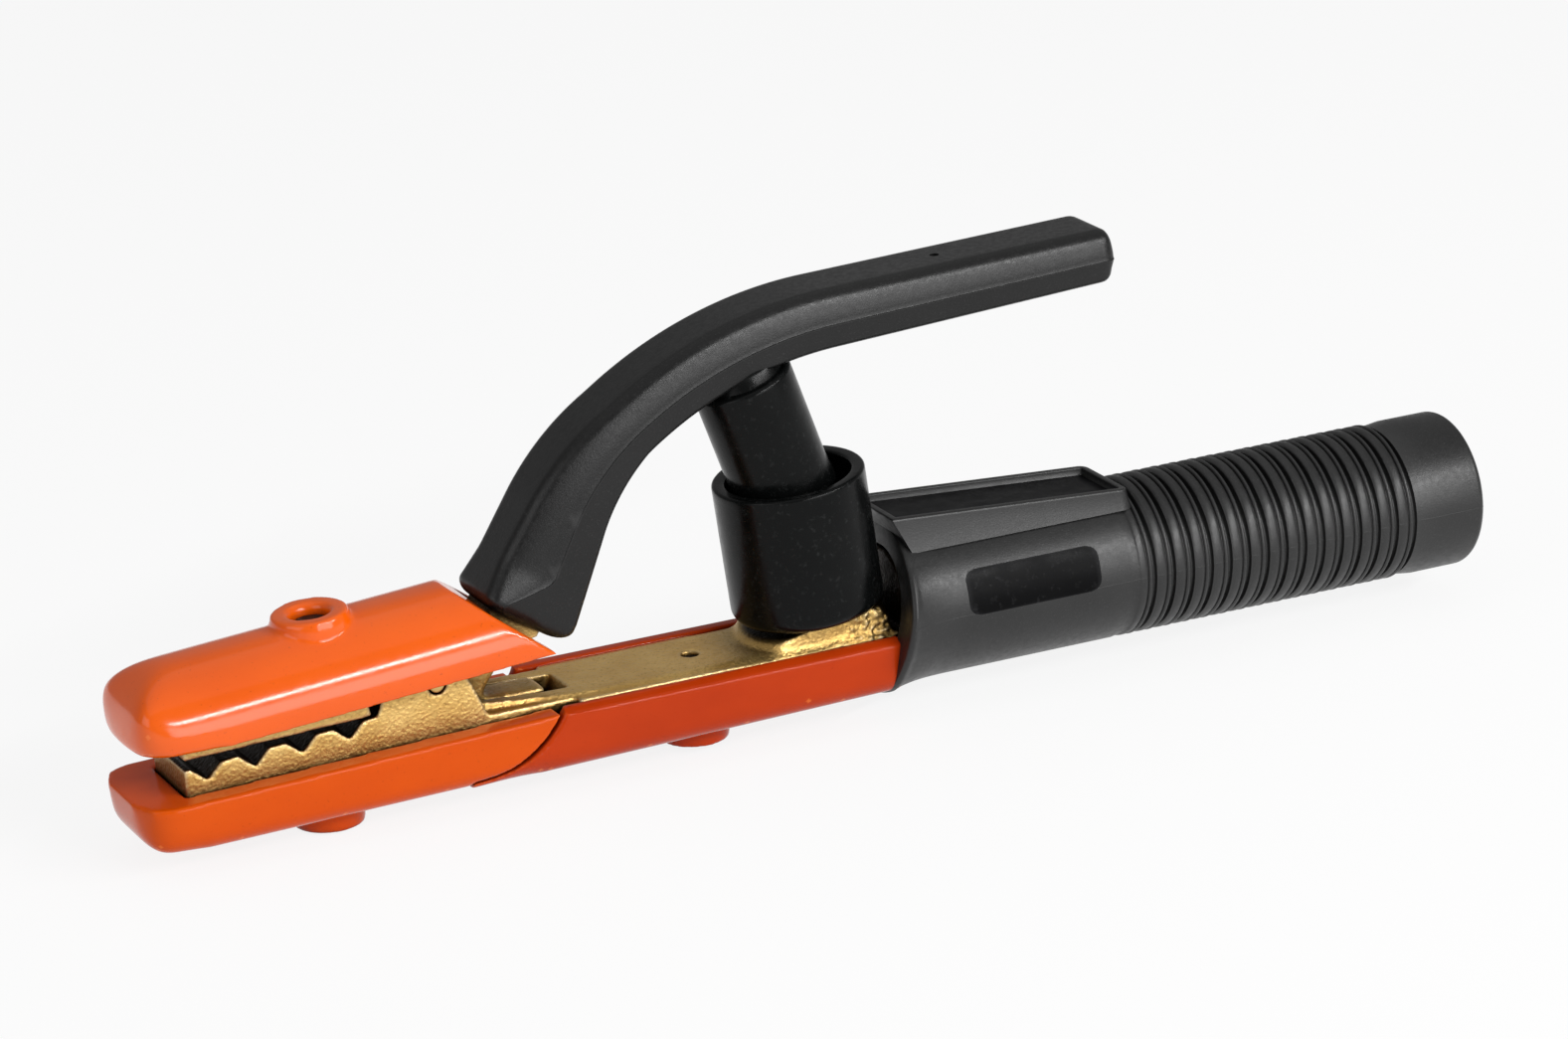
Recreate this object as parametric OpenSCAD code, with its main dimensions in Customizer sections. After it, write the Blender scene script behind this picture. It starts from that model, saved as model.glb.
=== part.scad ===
// Hand-held electrode holder: a cast brass body with a toothed jaw, a spring-loaded lever,
// moulded insulators and a ribbed handle that slides over the cable socket.
// Stations run along X from the front face of the jaws. The frame's origin is the centre of the
// cable mouth at the rear of the handle, with X along the handle and Z up.

/* [Handle] */
// Outside diameter of the grip
handle_d = 32.4; // [31.4:0.2:34]
// Length of the handle
handle_l = 133.4; // [130:0.2:150]
// Diameter of the flared front end
flare_d = 37; // [36.5:0.5:41]
// Length of the flare
flare_l = 13; // [8:0.5:14]
// Distance from the handle axis to the flat under the flare
flare_flat = 17.3; // [16.8:0.1:18]
// Diameter of the cable mouth
cable_d = 21; // [18:0.5:22]
// Number of grip ribs
rib_count = 15; // [8:1:15]
// Distance from one rib to the next
rib_pitch = 4.35; // [4:0.05:4.4]
// Depth of the groove between two ribs
rib_depth = 0.7; // [0.4:0.1:1]
// Plain length behind the last rib
plain_l = 16.9; // [14:0.1:24]
// Rounding of the rear edge
end_round = 1.5; // [1:0.1:3]

/* [Name frame] */
// Length of the raised frame on top of the handle
frame_l = 52; // [40:0.5:53]
// Width of the raised frame
frame_w = 18.6; // [16:0.2:22]
// Rise of the frame above the grip at its front end
frame_rise_front = 4.1; // [3:0.1:6]
// Rise of the frame above the grip at its rear end
frame_rise_rear = 0.7; // [0.6:0.1:2]
// Slant of the frame's front end
frame_slant = 2.2; // [1:0.1:3]
// Wall round the recessed panel
frame_wall = 1.6; // [1:0.1:2.5]
// Depth of the recessed panel
frame_sink = 1.9; // [1:0.1:2]

/* [Cable socket] */
// Outside diameter of the socket barrel inside the handle
barrel_d = 24; // [22:0.2:25]
// Length of the socket barrel
barrel_l = 66; // [60:1:70]
// Diameter of the conductor bore
socket_d = 15; // [13:0.2:16]
// Depth of the conductor bore
socket_l = 50; // [46:1:52]
// Thickness of the copper shim in the bore
shim_t = 0.5; // [0.3:0.1:0.8]
// Length of the copper shim
shim_l = 44; // [40:1:45]
// Diameter of the two cable clamping screws
set_screw_d = 8; // [6:0.5:10]
// Distance between the clamping screws
set_screw_pitch = 18; // [14:1:22]

/* [Body bar] */
// Length from the jaws' front face to the handle
bar_l = 147.6; // [147:0.2:154]
// Width of the bar at its shoulders
bar_w = 22; // [21:0.2:23]
// Depth of the bar's flat top under the handle axis
bar_top = 2.05; // [1.6:0.05:2.2]
// Drop from the flat top to the shoulders
shoulder_drop = 0.5; // [0.4:0.05:0.7]
// Depth of the bar's underside under the handle axis
bar_depth = 10.2; // [9.8:0.1:10.6]
// Width of the flat top behind the cheeks
ridge_w = 12.4; // [11:0.2:14]
// Rise of the flat top towards the cheeks
ridge_rise = 1.6; // [1:0.1:2]

/* [Jaws] */
// Width of the brass jaws
jaw_w = 18; // [17:0.2:19]
// Number of V notches in the lower jaw
notch_count = 4; // [2:1:4]
// Distance between notches
notch_pitch = 9.55; // [8:0.05:9.6]
// Distance of the first notch from the front face
notch_start = 4.1; // [3.8:0.1:4.6]
// Depth of a notch
notch_depth = 2.9; // [2:0.1:4]
// Width of the flat crest between two notches
crest_w = 3.4; // [1.5:0.1:4]
// Slope of the line where the jaws close
grip_pitch = 4.2; // [3:0.1:5]
// Distance of the closing line under the pivot
grip_drop = 2.85; // [2.4:0.05:3.2]
// Gap between the closed jaws at their rear
grip_gap = 0.35; // [0.3:0.05:0.6]
// Widening of that gap towards the jaws' front
grip_spread = 1.5; // [0.5:0.1:2]

/* [Pivot] */
// Distance of the pivot from the jaws' front face
pivot_x = 51.5; // [50:0.1:53]
// Height of the pivot above the handle axis
pivot_z = 5.55; // [5.2:0.05:6]
// Diameter of the pivot pin
pin_d = 3.6; // [3:0.1:5]
// Thickness of the lever between the cheeks
tongue_w = 8; // [7:0.1:9]
// Radius of the cheeks round the pivot
cheek_r = 5.5; // [4.5:0.1:6]
// Length of the stop heel behind the pivot
heel_l = 24.6; // [22:0.1:25]
// Distance of the stop heel under the pivot
heel_drop = 6.6; // [6.2:0.1:6.8]
// Thickness of the stop heel
heel_t = 2.4; // [2:0.1:2.8]
// Angle through which the lever opens
open_angle = 11; // [8:0.5:12]

/* [Tip insulators] */
// Width of both tip insulators
tip_w = 28.6; // [27.6:0.2:30]
// Overhang of the lower tip ahead of the jaws
nose_l = 10.3; // [8:0.1:12]
// Corner radius of the lower tip seen from above
nose_r = 8.5; // [6:0.1:10]
// Radius of the lower tip's bowed front seen from above
bow_r = 27; // [24:1:60]
// Rounding of the lower tip's chin seen from the side
chin_r = 5; // [4:0.1:7]
// Set-back of the lower tip's chin under its rim
chin_draft = 0.6; // [0.3:0.1:1.5]
// Slope of the lower tip's rim
rim_pitch = 2; // [1.5:0.1:2.5]
// Distance of the lower tip's rim under the pivot
rim_drop = 9.8; // [9.4:0.1:10.4]
// Slope of the lower tip's underside
belly_pitch = 1.1; // [0.8:0.1:1.4]
// Distance of the lower tip's underside under the pivot
belly_drop = 20.9; // [20.7:0.1:21.3]
// Floor of the lower tip under the jaw
tip_floor = 4; // [3.6:0.1:4.2]
// Rounding of the insulators' bottom edges
belly_r = 4.5; // [3:0.1:5]
// Overhang of the upper tip ahead of the jaws
cap_nose_l = 8.5; // [7:0.1:10]
// Corner radius of the upper tip seen from above
cap_nose_r = 8; // [5:0.1:9]
// Radius of the upper tip's bowed front seen from above
cap_bow_r = 45; // [30:5:90]
// Rounding of the upper tip's nose seen from the side
cap_chin_r = 12; // [9:0.1:13]
// Height of the upper tip's skirt above the pivot
skirt_rise = 1.55; // [1.2:0.05:2]
// Height of the upper tip
cap_h = 14.6; // [14:0.1:15.2]
// Thickness of the upper tip's roof
roof_t = 5.3; // [5:0.1:5.6]
// Radius of the upper tip's half-round back
crown_r = 13.7; // [12:0.1:13.7]
// Gap between the upper tip and the lever's foot
foot_gap = 1.2; // [1.1:0.1:2]
// Angle to which the upper tip's rear is cut off
cap_cut = 52.5; // [52:0.5:55]
// Radius of the round parting behind the lower tip
parting_r = 21.3; // [20.8:0.1:21.8]
// Width of the parting gap at the underside
parting_gap = 0.55; // [0.4:0.05:0.8]
// Widening of the parting gap towards the rim
parting_spread = 3.1; // [2:0.1:3.6]

/* [Body insulator] */
// Width of the trough round the bar
trough_w = 28.5; // [27.6:0.1:30]
// Level of the trough's rim under the handle axis
trough_rim = 2.8; // [2.7:0.05:3.2]
// Level of the trough's underside at its boss
trough_base = 15; // [14.8:0.1:15.6]
// Slope of the trough's underside
trough_pitch = 1.1; // [0.8:0.1:1.5]

/* [Insulator bosses and screws] */
// Diameter of the screw bosses at their foot
boss_d = 14.8; // [13.5:0.1:16]
// Narrowing of the screw bosses towards their end
boss_taper = 1; // [0.4:0.1:1.5]
// Distance of the lower tip's boss from the jaws' front face
boss_x = 30.5; // [28:0.5:33]
// Distance of the upper tip's boss from the jaws' front face
cap_boss_x = 31.4; // [29:0.1:33]
// Distance of the body boss from the jaws' front face
body_boss_x = 107.9; // [105:0.1:110]
// Height of the lower tip's boss
boss_h = 4.8; // [4:0.1:6]
// Height of the body boss
body_boss_h = 4.2; // [3.5:0.1:6]
// Height of the upper tip's boss
cap_boss_h = 2; // [1.6:0.1:3]
// Diameter of the upper tip's boss
cap_boss_d = 15.6; // [14.5:0.1:16.5]
// Depth of the upper tip's screw seat under its back
cap_seat_sink = 2.3; // [2:0.1:2.6]
// Diameter of the wells in the bosses
well_d = 7.4; // [7:0.1:8.5]
// Chamfer at the mouth of the wells
well_chamfer = 0.9; // [0.4:0.1:1.2]
// Diameter of the insulator screws
screw_d = 3.4; // [3:0.1:4]
// Diameter of the insulator screws' heads
screw_head_d = 6.4; // [5.6:0.1:6.8]
// Height of the insulator screws' heads
screw_head_h = 2.2; // [1.8:0.1:2.6]
// Width of the slots in the screws' heads
screw_slot = 1; // [0.8:0.1:1.4]

/* [Spring and cups] */
// Distance of the spring seat ahead of the handle
seat_back = 13.6; // [13.2:0.1:15]
// Height of the spring seat above the handle axis
seat_z = 2.35; // [2:0.05:3]
// Lean of the lower cup towards the nose
seat_lean = 6.3; // [5.5:0.1:7]
// Outside diameter of the lower cup
lower_cup_d = 30.3; // [29.5:0.1:30.5]
// Height of the lower cup
lower_cup_h = 28.5; // [26:0.1:29]
// Wall of the lower cup
lower_cup_wall = 2.7; // [2.2:0.1:2.8]
// Offset of the upper cup's axis towards the nose at the lower cup's rim
cup_offset = 1.8; // [0.9:0.1:2.7]
// Lean of the upper cup towards the nose
cap_lean = 18.7; // [18:0.1:19.5]
// Outside diameter of the upper cup
upper_cup_d = 20; // [19:0.1:20.2]
// Length of the upper cup
upper_cup_h = 27.2; // [25:0.1:27.5]
// Wall of the upper cup
upper_cup_wall = 2; // [1.6:0.1:2.2]
// Widening of the upper cup's lip
cup_lip = 0.4; // [0.2:0.1:0.5]
// Depth of the upper cup's collar in the lever
collar_sink = 1.5; // [1:0.1:1.8]
// Visible height of the upper cup's collar
collar_h = 1.3; // [1.2:0.1:2]
// Floor of both cups
cup_floor = 2.4; // [2:0.1:3]
// Thickness of the steel spring washers
washer_t = 1.2; // [0.8:0.1:1.5]
// Diameter of the spring wire
wire_d = 2.4; // [1.8:0.1:2.6]
// Middle diameter of the spring
spring_d = 11.2; // [10.6:0.1:11.6]
// Number of spring turns
spring_turns = 8; // [6:1:9]

/* [Lever] */
// Place of the lever's foot behind the pivot
foot_dx = 19.7; // [19.4:0.1:20.4]
// Height of the lever's foot above the pivot
foot_dz = 7.3; // [7:0.1:8]
// Rise angle of the lever's foot
foot_angle = 62.5; // [60:0.5:65]
// Angle to which the foot is cut off square
foot_cut = 56; // [54:0.5:58]
// Straight length of the foot
foot_l = 20.5; // [19.5:0.1:21.5]
// Radius of the first bend
bend1_r = 46.7; // [45:0.1:48]
// Slope between the two bends
mid_angle = 35; // [33:0.5:37]
// Radius of the second bend
bend2_r = 82; // [80:0.1:84]
// Slope of the tail
tail_angle = 2.5; // [1.5:0.1:3.5]
// Straight length of the tail
tail_l = 61.8; // [54:0.2:66]
// Thickness of the lever at its foot
foot_t = 21.2; // [20:0.1:22]
// Thickness of the lever at the second bend
mid_t = 12.8; // [12.4:0.1:13.5]
// Thickness of the lever at the tail's end
tail_t = 10.8; // [10.4:0.1:11.5]
// Width of the lever's top
lever_top_w = 18.2; // [17:0.1:18.6]
// Width of the lever at the mould parting
lever_w = 18.6; // [18:0.1:20]
// Width of the lever's underside
lever_low_w = 16; // [15:0.1:17]
// Rounding of the lever's top edges
lever_top_r = 3; // [1.5:0.1:3.4]
// Rounding of the lever's lower edges
lever_low_r = 1.8; // [1:0.1:2.4]
// Thickness of the brass neck at the lever's foot
neck_t = 11.5; // [10:0.1:12]
// Offset of the neck towards the lever's top
neck_shift = 1.9; // [1.5:0.1:2.2]
// Thickness of the brass core in the lever
core_t = 5; // [4:0.1:5.4]
// Width of the brass neck and core
core_w = 11.5; // [10:0.1:12]
// Distance of the core's end from the tail's end
core_stop = 14; // [8:0.5:20]
// Diameter of the pin that holds the sleeve on the core
sleeve_pin_d = 1.6; // [1.2:0.1:2]
// Distance of that pin from the tail's end
sleeve_pin_stop = 35.5; // [24:0.5:40]

/* [Fits] */
// Gap between pieces that touch
seat_gap = 0.05; // [0.02:0.01:0.1]
// Gap round pieces that slide together
slip_gap = 0.2; // [0.1:0.05:0.3]
// Gap between the lever and the body
move_gap = 0.4; // [0.35:0.05:0.5]
// Radial clearance of the lever on the pivot pin
pin_gap = 0.05; // [0.02:0.01:0.09]
// Radial clearance of screws and pins in their holes
thread_gap = 0.03; // [0.02:0.01:0.05]

/* [Hidden] */
$fn = 64;

BRASS = [0.79, 0.66, 0.36];
ORANGE = [0.94, 0.39, 0.12];
BLACK = [0.09, 0.09, 0.09];
GREY = [0.21, 0.21, 0.21];
STEEL = [0.62, 0.62, 0.64];
COPPER = [0.72, 0.45, 0.28];

// Overshoot of cutting shapes
over = 1;
// Run of a rounding past the face it meets
edge_over = 0.1;
holder_l = bar_l + handle_l;
handle_r = handle_d / 2;
barrel_r = barrel_d / 2;
socket_r = socket_d / 2;
// Set-back of the socket barrel behind the handle's front face
barrel_gap = 2.2;
barrel_x = bar_l + barrel_gap;
socket_end = barrel_x + barrel_l;

// Jaw and pivot
jaw_foot = belly_drop - tip_floor;
cavity_w = jaw_w + 2 * slip_gap;
hub_r = cheek_r + 1.5;
cheek_front = notch_start + (notch_count - 1) * notch_pitch + 6;
cheek_rear = pivot_x + cheek_r + 1.2;
slot_w = tongue_w + 2 * move_gap;
slot_floor = pivot_z - heel_l * sin(open_angle) - (heel_drop + heel_t) * cos(open_angle) - move_gap;
slot_end = pivot_x + heel_l + 1;
shoulder_z = -bar_top - shoulder_drop;

// Upper tip, measured from the pivot along its own slope
cap_top = skirt_rise + cap_h;
cap_jaw_top = cap_top - roof_t - seat_gap;
cap_cavity_w = jaw_w + 2 * move_gap;

// Round parting between the lower tip and the body insulator
parting_c = [pivot_x + 4.6, pivot_z + 2];
spread_angle = 65;
trough_front_r = parting_r + parting_gap + parting_spread;
trough_front_c = parting_c + parting_spread * [cos(spread_angle), sin(spread_angle)];
bar_start = trough_front_c[0] + sqrt(pow(trough_front_r, 2) - pow(trough_front_c[1] + trough_rim, 2)) + over;

// Screws
tip_bite = 5;
head_sink = 1;
body_screw_l = trough_base - bar_top - head_sink;
handle_screw_x = bar_l + 21;
handle_bite = barrel_r - socket_r - 1;
handle_seat = handle_r - screw_head_h - head_sink;
set_screw_x = [for (i = [-1, 1]) socket_end - shim_l / 2 + i * set_screw_pitch / 2];
// Clamping screws end under the barrel's surface over their whole width
set_screw_l = sqrt(pow(barrel_r, 2) - pow(set_screw_d / 2, 2)) - socket_r - 4 * seat_gap;

// Spring seats
seat_x = bar_l - seat_back;
spigot_r = 4.5;
post_r = 3.2;

// Points of an arc
function arc(c, r, a0, a1, n) =
    [for (i = [0:n]) let (a = a0 + (a1 - a0) * i / n) c + r * [cos(a), sin(a)]];
// Number of steps in a quarter of an arc
function steps(r) = ceil(2 * r);
// Direction at angle a from X towards Z
function heading(a) = [cos(a), sin(a)];
// Direction of a shape that stands upright and leans by a towards the nose
function leaning(a) = [-sin(a), cos(a)];

// Lever path in the X-Z plane: a straight foot, two bends and a straight tail
foot_p = [pivot_x + foot_dx, pivot_z + foot_dz];
bend1_end = foot_l + bend1_r * (foot_angle - mid_angle) * PI / 180;
bend2_end = bend1_end + bend2_r * (mid_angle - tail_angle) * PI / 180;
lever_l = bend2_end + tail_l;
function bend(p, r, a, b) = p + r * [sin(a) - sin(b), cos(b) - cos(a)];
bend1_p = foot_p + foot_l * heading(foot_angle);
bend2_p = bend(bend1_p, bend1_r, foot_angle, mid_angle);
tail_p = bend(bend2_p, bend2_r, mid_angle, tail_angle);
function path_angle(s) =
    s <= foot_l ? foot_angle
    : s <= bend1_end ? foot_angle - (s - foot_l) / bend1_r * 180 / PI
    : s <= bend2_end ? mid_angle - (s - bend1_end) / bend2_r * 180 / PI
    : tail_angle;
function path_point(s) =
    s <= foot_l ? foot_p + s * heading(foot_angle)
    : s <= bend1_end ? bend(bend1_p, bend1_r, foot_angle, path_angle(s))
    : s <= bend2_end ? bend(bend2_p, bend2_r, mid_angle, path_angle(s))
    : tail_p + (s - bend2_end) * heading(tail_angle);
// Direction across the lever, turned to the foot's cut at its start
function path_across(s) =
    leaning(s < foot_l ? foot_cut + (foot_angle - foot_cut) * s / foot_l : path_angle(s));
// Value that runs from a to b over the lever's foot and first bend, then to c at the tail
function along(s, a, b, c) =
    s <= bend1_end ? a + (b - a) * s / bend1_end : b + (c - b) * (s - bend1_end) / (lever_l - bend1_end);
function lever_t(s) = along(s, foot_t, mid_t, tail_t);
function core_mid(s) = along(s, neck_shift, 0, 0);
function core_half(s) = along(s, neck_t, core_t, core_t) / 2;
function off_path(s, n) = path_point(s) + n * path_across(s);
core_end = lever_l - core_stop;
pin_s = lever_l - sleeve_pin_stop;
bend_s = concat(
    [for (i = [1:5]) foot_l + (bend1_end - foot_l) * i / 5],
    [for (i = [1:6]) bend1_end + (bend2_end - bend1_end) * i / 6]
);
core_s = concat([0, foot_l / 2, foot_l], bend_s, [core_end]);

// Place along the lever where the upper cup's axis meets the lower cup's rim, and the spring's ends
cup_aim = [seat_x - cup_offset, seat_z] + lower_cup_h * leaning(seat_lean);
function axis_miss(s) = cross(off_path(s, -lever_t(s) / 2) - cup_aim, leaning(cap_lean));
function crossing(a, b, n) =
    let (m = (a + b) / 2) n == 0 ? m : axis_miss(m) < 0 ? crossing(m, b, n - 1) : crossing(a, m, n - 1);
cap_s = crossing(foot_l, lever_l, 24);
cap_seat = off_path(cap_s, -lever_t(cap_s) / 2);
cap_floor_h = collar_h + cup_floor;
spring_gap = 0.15;
spring_inset = 2 * seat_gap + washer_t + spring_gap + wire_d / 2;
spring_low = [seat_x, seat_z] + (cup_floor + spring_inset) * leaning(seat_lean);
spring_high = cap_seat - (cap_floor_h + spring_inset) * leaning(cap_lean);

// Moves stations to the frame whose origin is the cable mouth
module place() {
    translate([-holder_l, 0, 0]) children();
}

// Turns a side view drawn in X and Z into a solid of width w across Y
module across(w) {
    rotate([90, 0, 0]) linear_extrude(w, center = true) children();
}

// Turns a shape round Z into one round X
module along_x() {
    rotate([0, 90, 0]) children();
}

// Places a shape at a point of the X-Z plane, leaning towards the nose
module at(p, lean = 0) {
    translate([p[0], 0, p[1]]) rotate([0, -lean, 0]) children();
}

// Round shape across Y at a point of the X-Z plane
module disc(p, r, w) {
    at(p) rotate([90, 0, 0]) cylinder(h = w, r = r, center = true, $fn = 96);
}

// Slopes a shape about the pivot, nose down
module pitched(angle) {
    at([pivot_x, pivot_z], angle) children();
}

// Stands a shape on the lower spring seat
module on_seat() {
    at([seat_x, seat_z], seat_lean) children();
}

// Hangs a shape from the lever's underside along the upper cup's axis
module under_lever() {
    at(cap_seat, cap_lean) mirror([0, 0, 1]) children();
}

// Rectangle from the origin with its low-X end bowed and the two corners there rounded
module nose_plan(l, w, r, bow) {
    half = asin(w / 2 / bow) + 2;
    intersection() {
        polygon(concat([[l, -w / 2], [l, w / 2]], arc([r, w / 2 - r], r, 90, 180, steps(r)),
            arc([r, r - w / 2], r, 180, 270, steps(r))));
        polygon(concat([[l + over, -w], [l + over, w]], arc([bow, 0], bow, 180 - half, 180 + half, 16)));
    }
}

// Rectangle from the origin with four round corners
module round_rect(l, w, r) {
    translate([r, 0]) square([l - 2 * r, w]);
    translate([0, r]) square([l, w - 2 * r]);
    for (x = [r, l - r]) for (y = [r, w - r]) translate([x, y]) circle(r);
}

// Section of a trough, open upwards, with its two bottom edges rounded
module trough_section(w, h, r) {
    polygon(concat([[w / 2, h], [-w / 2, h]], arc([r - w / 2, r], r, 180, 270, steps(r)),
        arc([w / 2 - r, r], r, 270, 360, steps(r))));
}

// Tip block from the origin, with its nose rounded in plan and, by r behind the draft, at the bottom
module tip_block(l, w, h, plan_r, bow, edge_r, r, draft) {
    intersection() {
        translate([0, 0, -over]) linear_extrude(h + over) nose_plan(l, w, plan_r, bow);
        across(w + 2 * over) polygon(concat(
            [[l + over, -edge_over], [l + over, h + over], [-over, h + over], [-over, h], [0, h]],
            arc([draft + r, r - edge_over], r, 180, 270, steps(r))
        ));
        translate([-over, 0, 0]) rotate([90, 0, 90]) linear_extrude(l + 2 * over)
            trough_section(w + 2 * edge_over, h + over, edge_r);
    }
}

// Screw boss of diameter d that hangs down from the origin, with h0 of it inside the wall
module boss(d, h, h0) {
    translate([0, 0, -h]) cylinder(h = h, d1 = d - boss_taper, d2 = d);
    cylinder(h = h0, d = d);
}

// Cheese-head screw with a slot, pointing up, its head's underside at Z = 0
module slot_screw(l) {
    difference() {
        union() {
            translate([0, 0, -screw_head_h]) cylinder(h = screw_head_h, d = screw_head_d);
            cylinder(h = l, d = screw_d);
        }
        translate([-screw_head_d, -screw_slot / 2, -screw_head_h - over])
            cube([2 * screw_head_d, screw_slot, over + screw_head_h / 2]);
    }
}

// Hole for such a screw: shank upwards, well of depth h downwards with a chamfered mouth
module screw_well(shank, h) {
    translate([0, 0, -over]) cylinder(h = shank + over, d = screw_d + 2 * slip_gap);
    translate([0, 0, -h - over]) cylinder(h = h + over + seat_gap, d = well_d);
    translate([0, 0, -h]) cylinder(h = well_chamfer, d1 = well_d + 2 * well_chamfer, d2 = well_d);
}

// Brass body: toothed lower jaw, pivot cheeks, bar, spring pad and cable socket in one casting
module body_casting() {
    color(BRASS) place() difference() {
        union() {
            across(jaw_w) body_side();
            bar();
            spring_pad();
            translate([barrel_x, 0, 0]) along_x() cylinder(h = barrel_l, r = barrel_r);
        }
        lever_slot();
        disc([pivot_x, pivot_z], pin_d / 2 + thread_gap, jaw_w + 2 * over);
        translate([socket_end - socket_l, 0, 0]) along_x() cylinder(h = socket_l + over, r = socket_r);
        pitched(belly_pitch) translate([boss_x - pivot_x, 0, -jaw_foot - over])
            cylinder(h = tip_bite + 2 * over, r = screw_d / 2 + thread_gap);
        translate([body_boss_x, 0, -bar_depth - over])
            cylinder(h = bar_depth + over, r = screw_d / 2 + thread_gap);
        for (x = set_screw_x) translate([x, 0, 0])
            cylinder(h = barrel_r + over, r = set_screw_d / 2 + thread_gap);
        translate([handle_screw_x, 0, -barrel_r - over])
            cylinder(h = handle_bite + over, r = screw_d / 2 + thread_gap);
    }
}

// Side view of the jaw, the cheeks and the bar under its shoulders
module body_side() {
    lower_jaw();
    cheeks();
    translate([pivot_x, -bar_depth]) square([bar_l - slip_gap - pivot_x, bar_depth + shoulder_z]);
}

// Lower jaw with a row of V notches along the closing line
module lower_jaw() {
    notch_half = (notch_pitch - crest_w) / 2;
    translate([pivot_x, pivot_z]) difference() {
        rotate(belly_pitch) translate([-pivot_x, -jaw_foot]) square([pivot_x + 2, jaw_foot]);
        rotate(grip_pitch) translate([-pivot_x - nose_l, -grip_drop]) {
            square([2 * pivot_x, pivot_x]);
            for (i = [0:notch_count - 1]) translate([nose_l + notch_start + i * notch_pitch, 0])
                polygon([[-2 * notch_half, notch_depth], [0, -notch_depth], [2 * notch_half, notch_depth]]);
        }
    }
}

// Cheeks that carry the pivot pin, before the slot is cut
module cheeks() {
    translate([pivot_x, pivot_z]) circle(cheek_r, $fn = 96);
    polygon([
        [cheek_front, -bar_depth / 2],
        [cheek_front, pivot_z - grip_drop - 2],
        [cheek_front + 1.5, pivot_z],
        [pivot_x - cheek_r * sin(30), pivot_z + cheek_r * cos(30)],
        [pivot_x + cheek_r * sin(45), pivot_z + cheek_r * cos(45)],
        [cheek_rear, pivot_z - 0.5],
        [cheek_rear + 3.4, shoulder_z],
        [cheek_rear + 3.4, -bar_depth / 2]
    ]);
}

// Bar with a flat top that narrows and rises towards the cheeks, over lower shoulders
module bar() {
    l = bar_l - slip_gap;
    rise_l = 32;
    rise_r = pow(rise_l, 2) / ridge_rise / 2;
    rise_end = cheek_rear + rise_l;
    rise_c = [rise_end, rise_r - bar_top];
    rise_a = asin(rise_l / rise_r);
    translate([bar_start, -bar_w / 2, -bar_depth]) cube([l - bar_start, bar_w, bar_depth + shoulder_z]);
    intersection() {
        translate([0, 0, -bar_depth / 2]) linear_extrude(bar_depth) polygon([
            [cheek_rear, -ridge_w / 2], [rise_end, -jaw_w / 2], [l, -jaw_w / 2],
            [l, jaw_w / 2], [rise_end, jaw_w / 2], [cheek_rear, ridge_w / 2]
        ]);
        across(jaw_w) polygon(concat(
            arc(rise_c, rise_r, -90 - rise_a, -90, 8),
            [[l, -bar_top], [l, -bar_depth / 2], [cheek_rear, -bar_depth / 2]]
        ));
    }
    intersection() {
        translate([seat_x, -bar_w / 2, -bar_depth])
            cube([barrel_x + over - seat_x, bar_w, bar_depth - bar_top]);
        translate([seat_x, 0, 0]) along_x() cylinder(h = barrel_x + over - seat_x, r = barrel_r);
    }
}

// Flared seat that leans with the lower cup, with a spigot that locates the cup
module spring_pad() {
    pad_h = seat_z + bar_top;
    pad_r = lower_cup_d / 2 - 1;
    intersection() {
        on_seat() translate([0, 0, -2 * pad_h]) cylinder(h = 2 * pad_h, r1 = pad_r + pad_h, r2 = pad_r);
        translate([seat_x - lower_cup_d, -tip_w / 2 + belly_r, shoulder_z])
            cube([lower_cup_d + bar_l - slip_gap - seat_x, tip_w - 2 * belly_r, 3 * pad_h]);
    }
    on_seat() translate([0, 0, -over]) cylinder(h = over + cup_floor, r = spigot_r);
}

// Slot between the cheeks for the lever, with a ramp behind the stop heel
module lever_slot() {
    ramp = 3;
    across(slot_w) polygon([
        [cheek_front - over, slot_floor + 3], [cheek_front - over, pivot_z + 2 * cheek_r],
        [slot_end + ramp, pivot_z + 2 * cheek_r], [slot_end + ramp, -bar_top],
        [slot_end, slot_floor], [cheek_front + 3, slot_floor]
    ]);
}

// Pin that the lever swings on, flush with the cheeks
module pivot_pin() {
    color(STEEL) place() disc([pivot_x, pivot_z], pin_d / 2, jaw_w);
}

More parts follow.
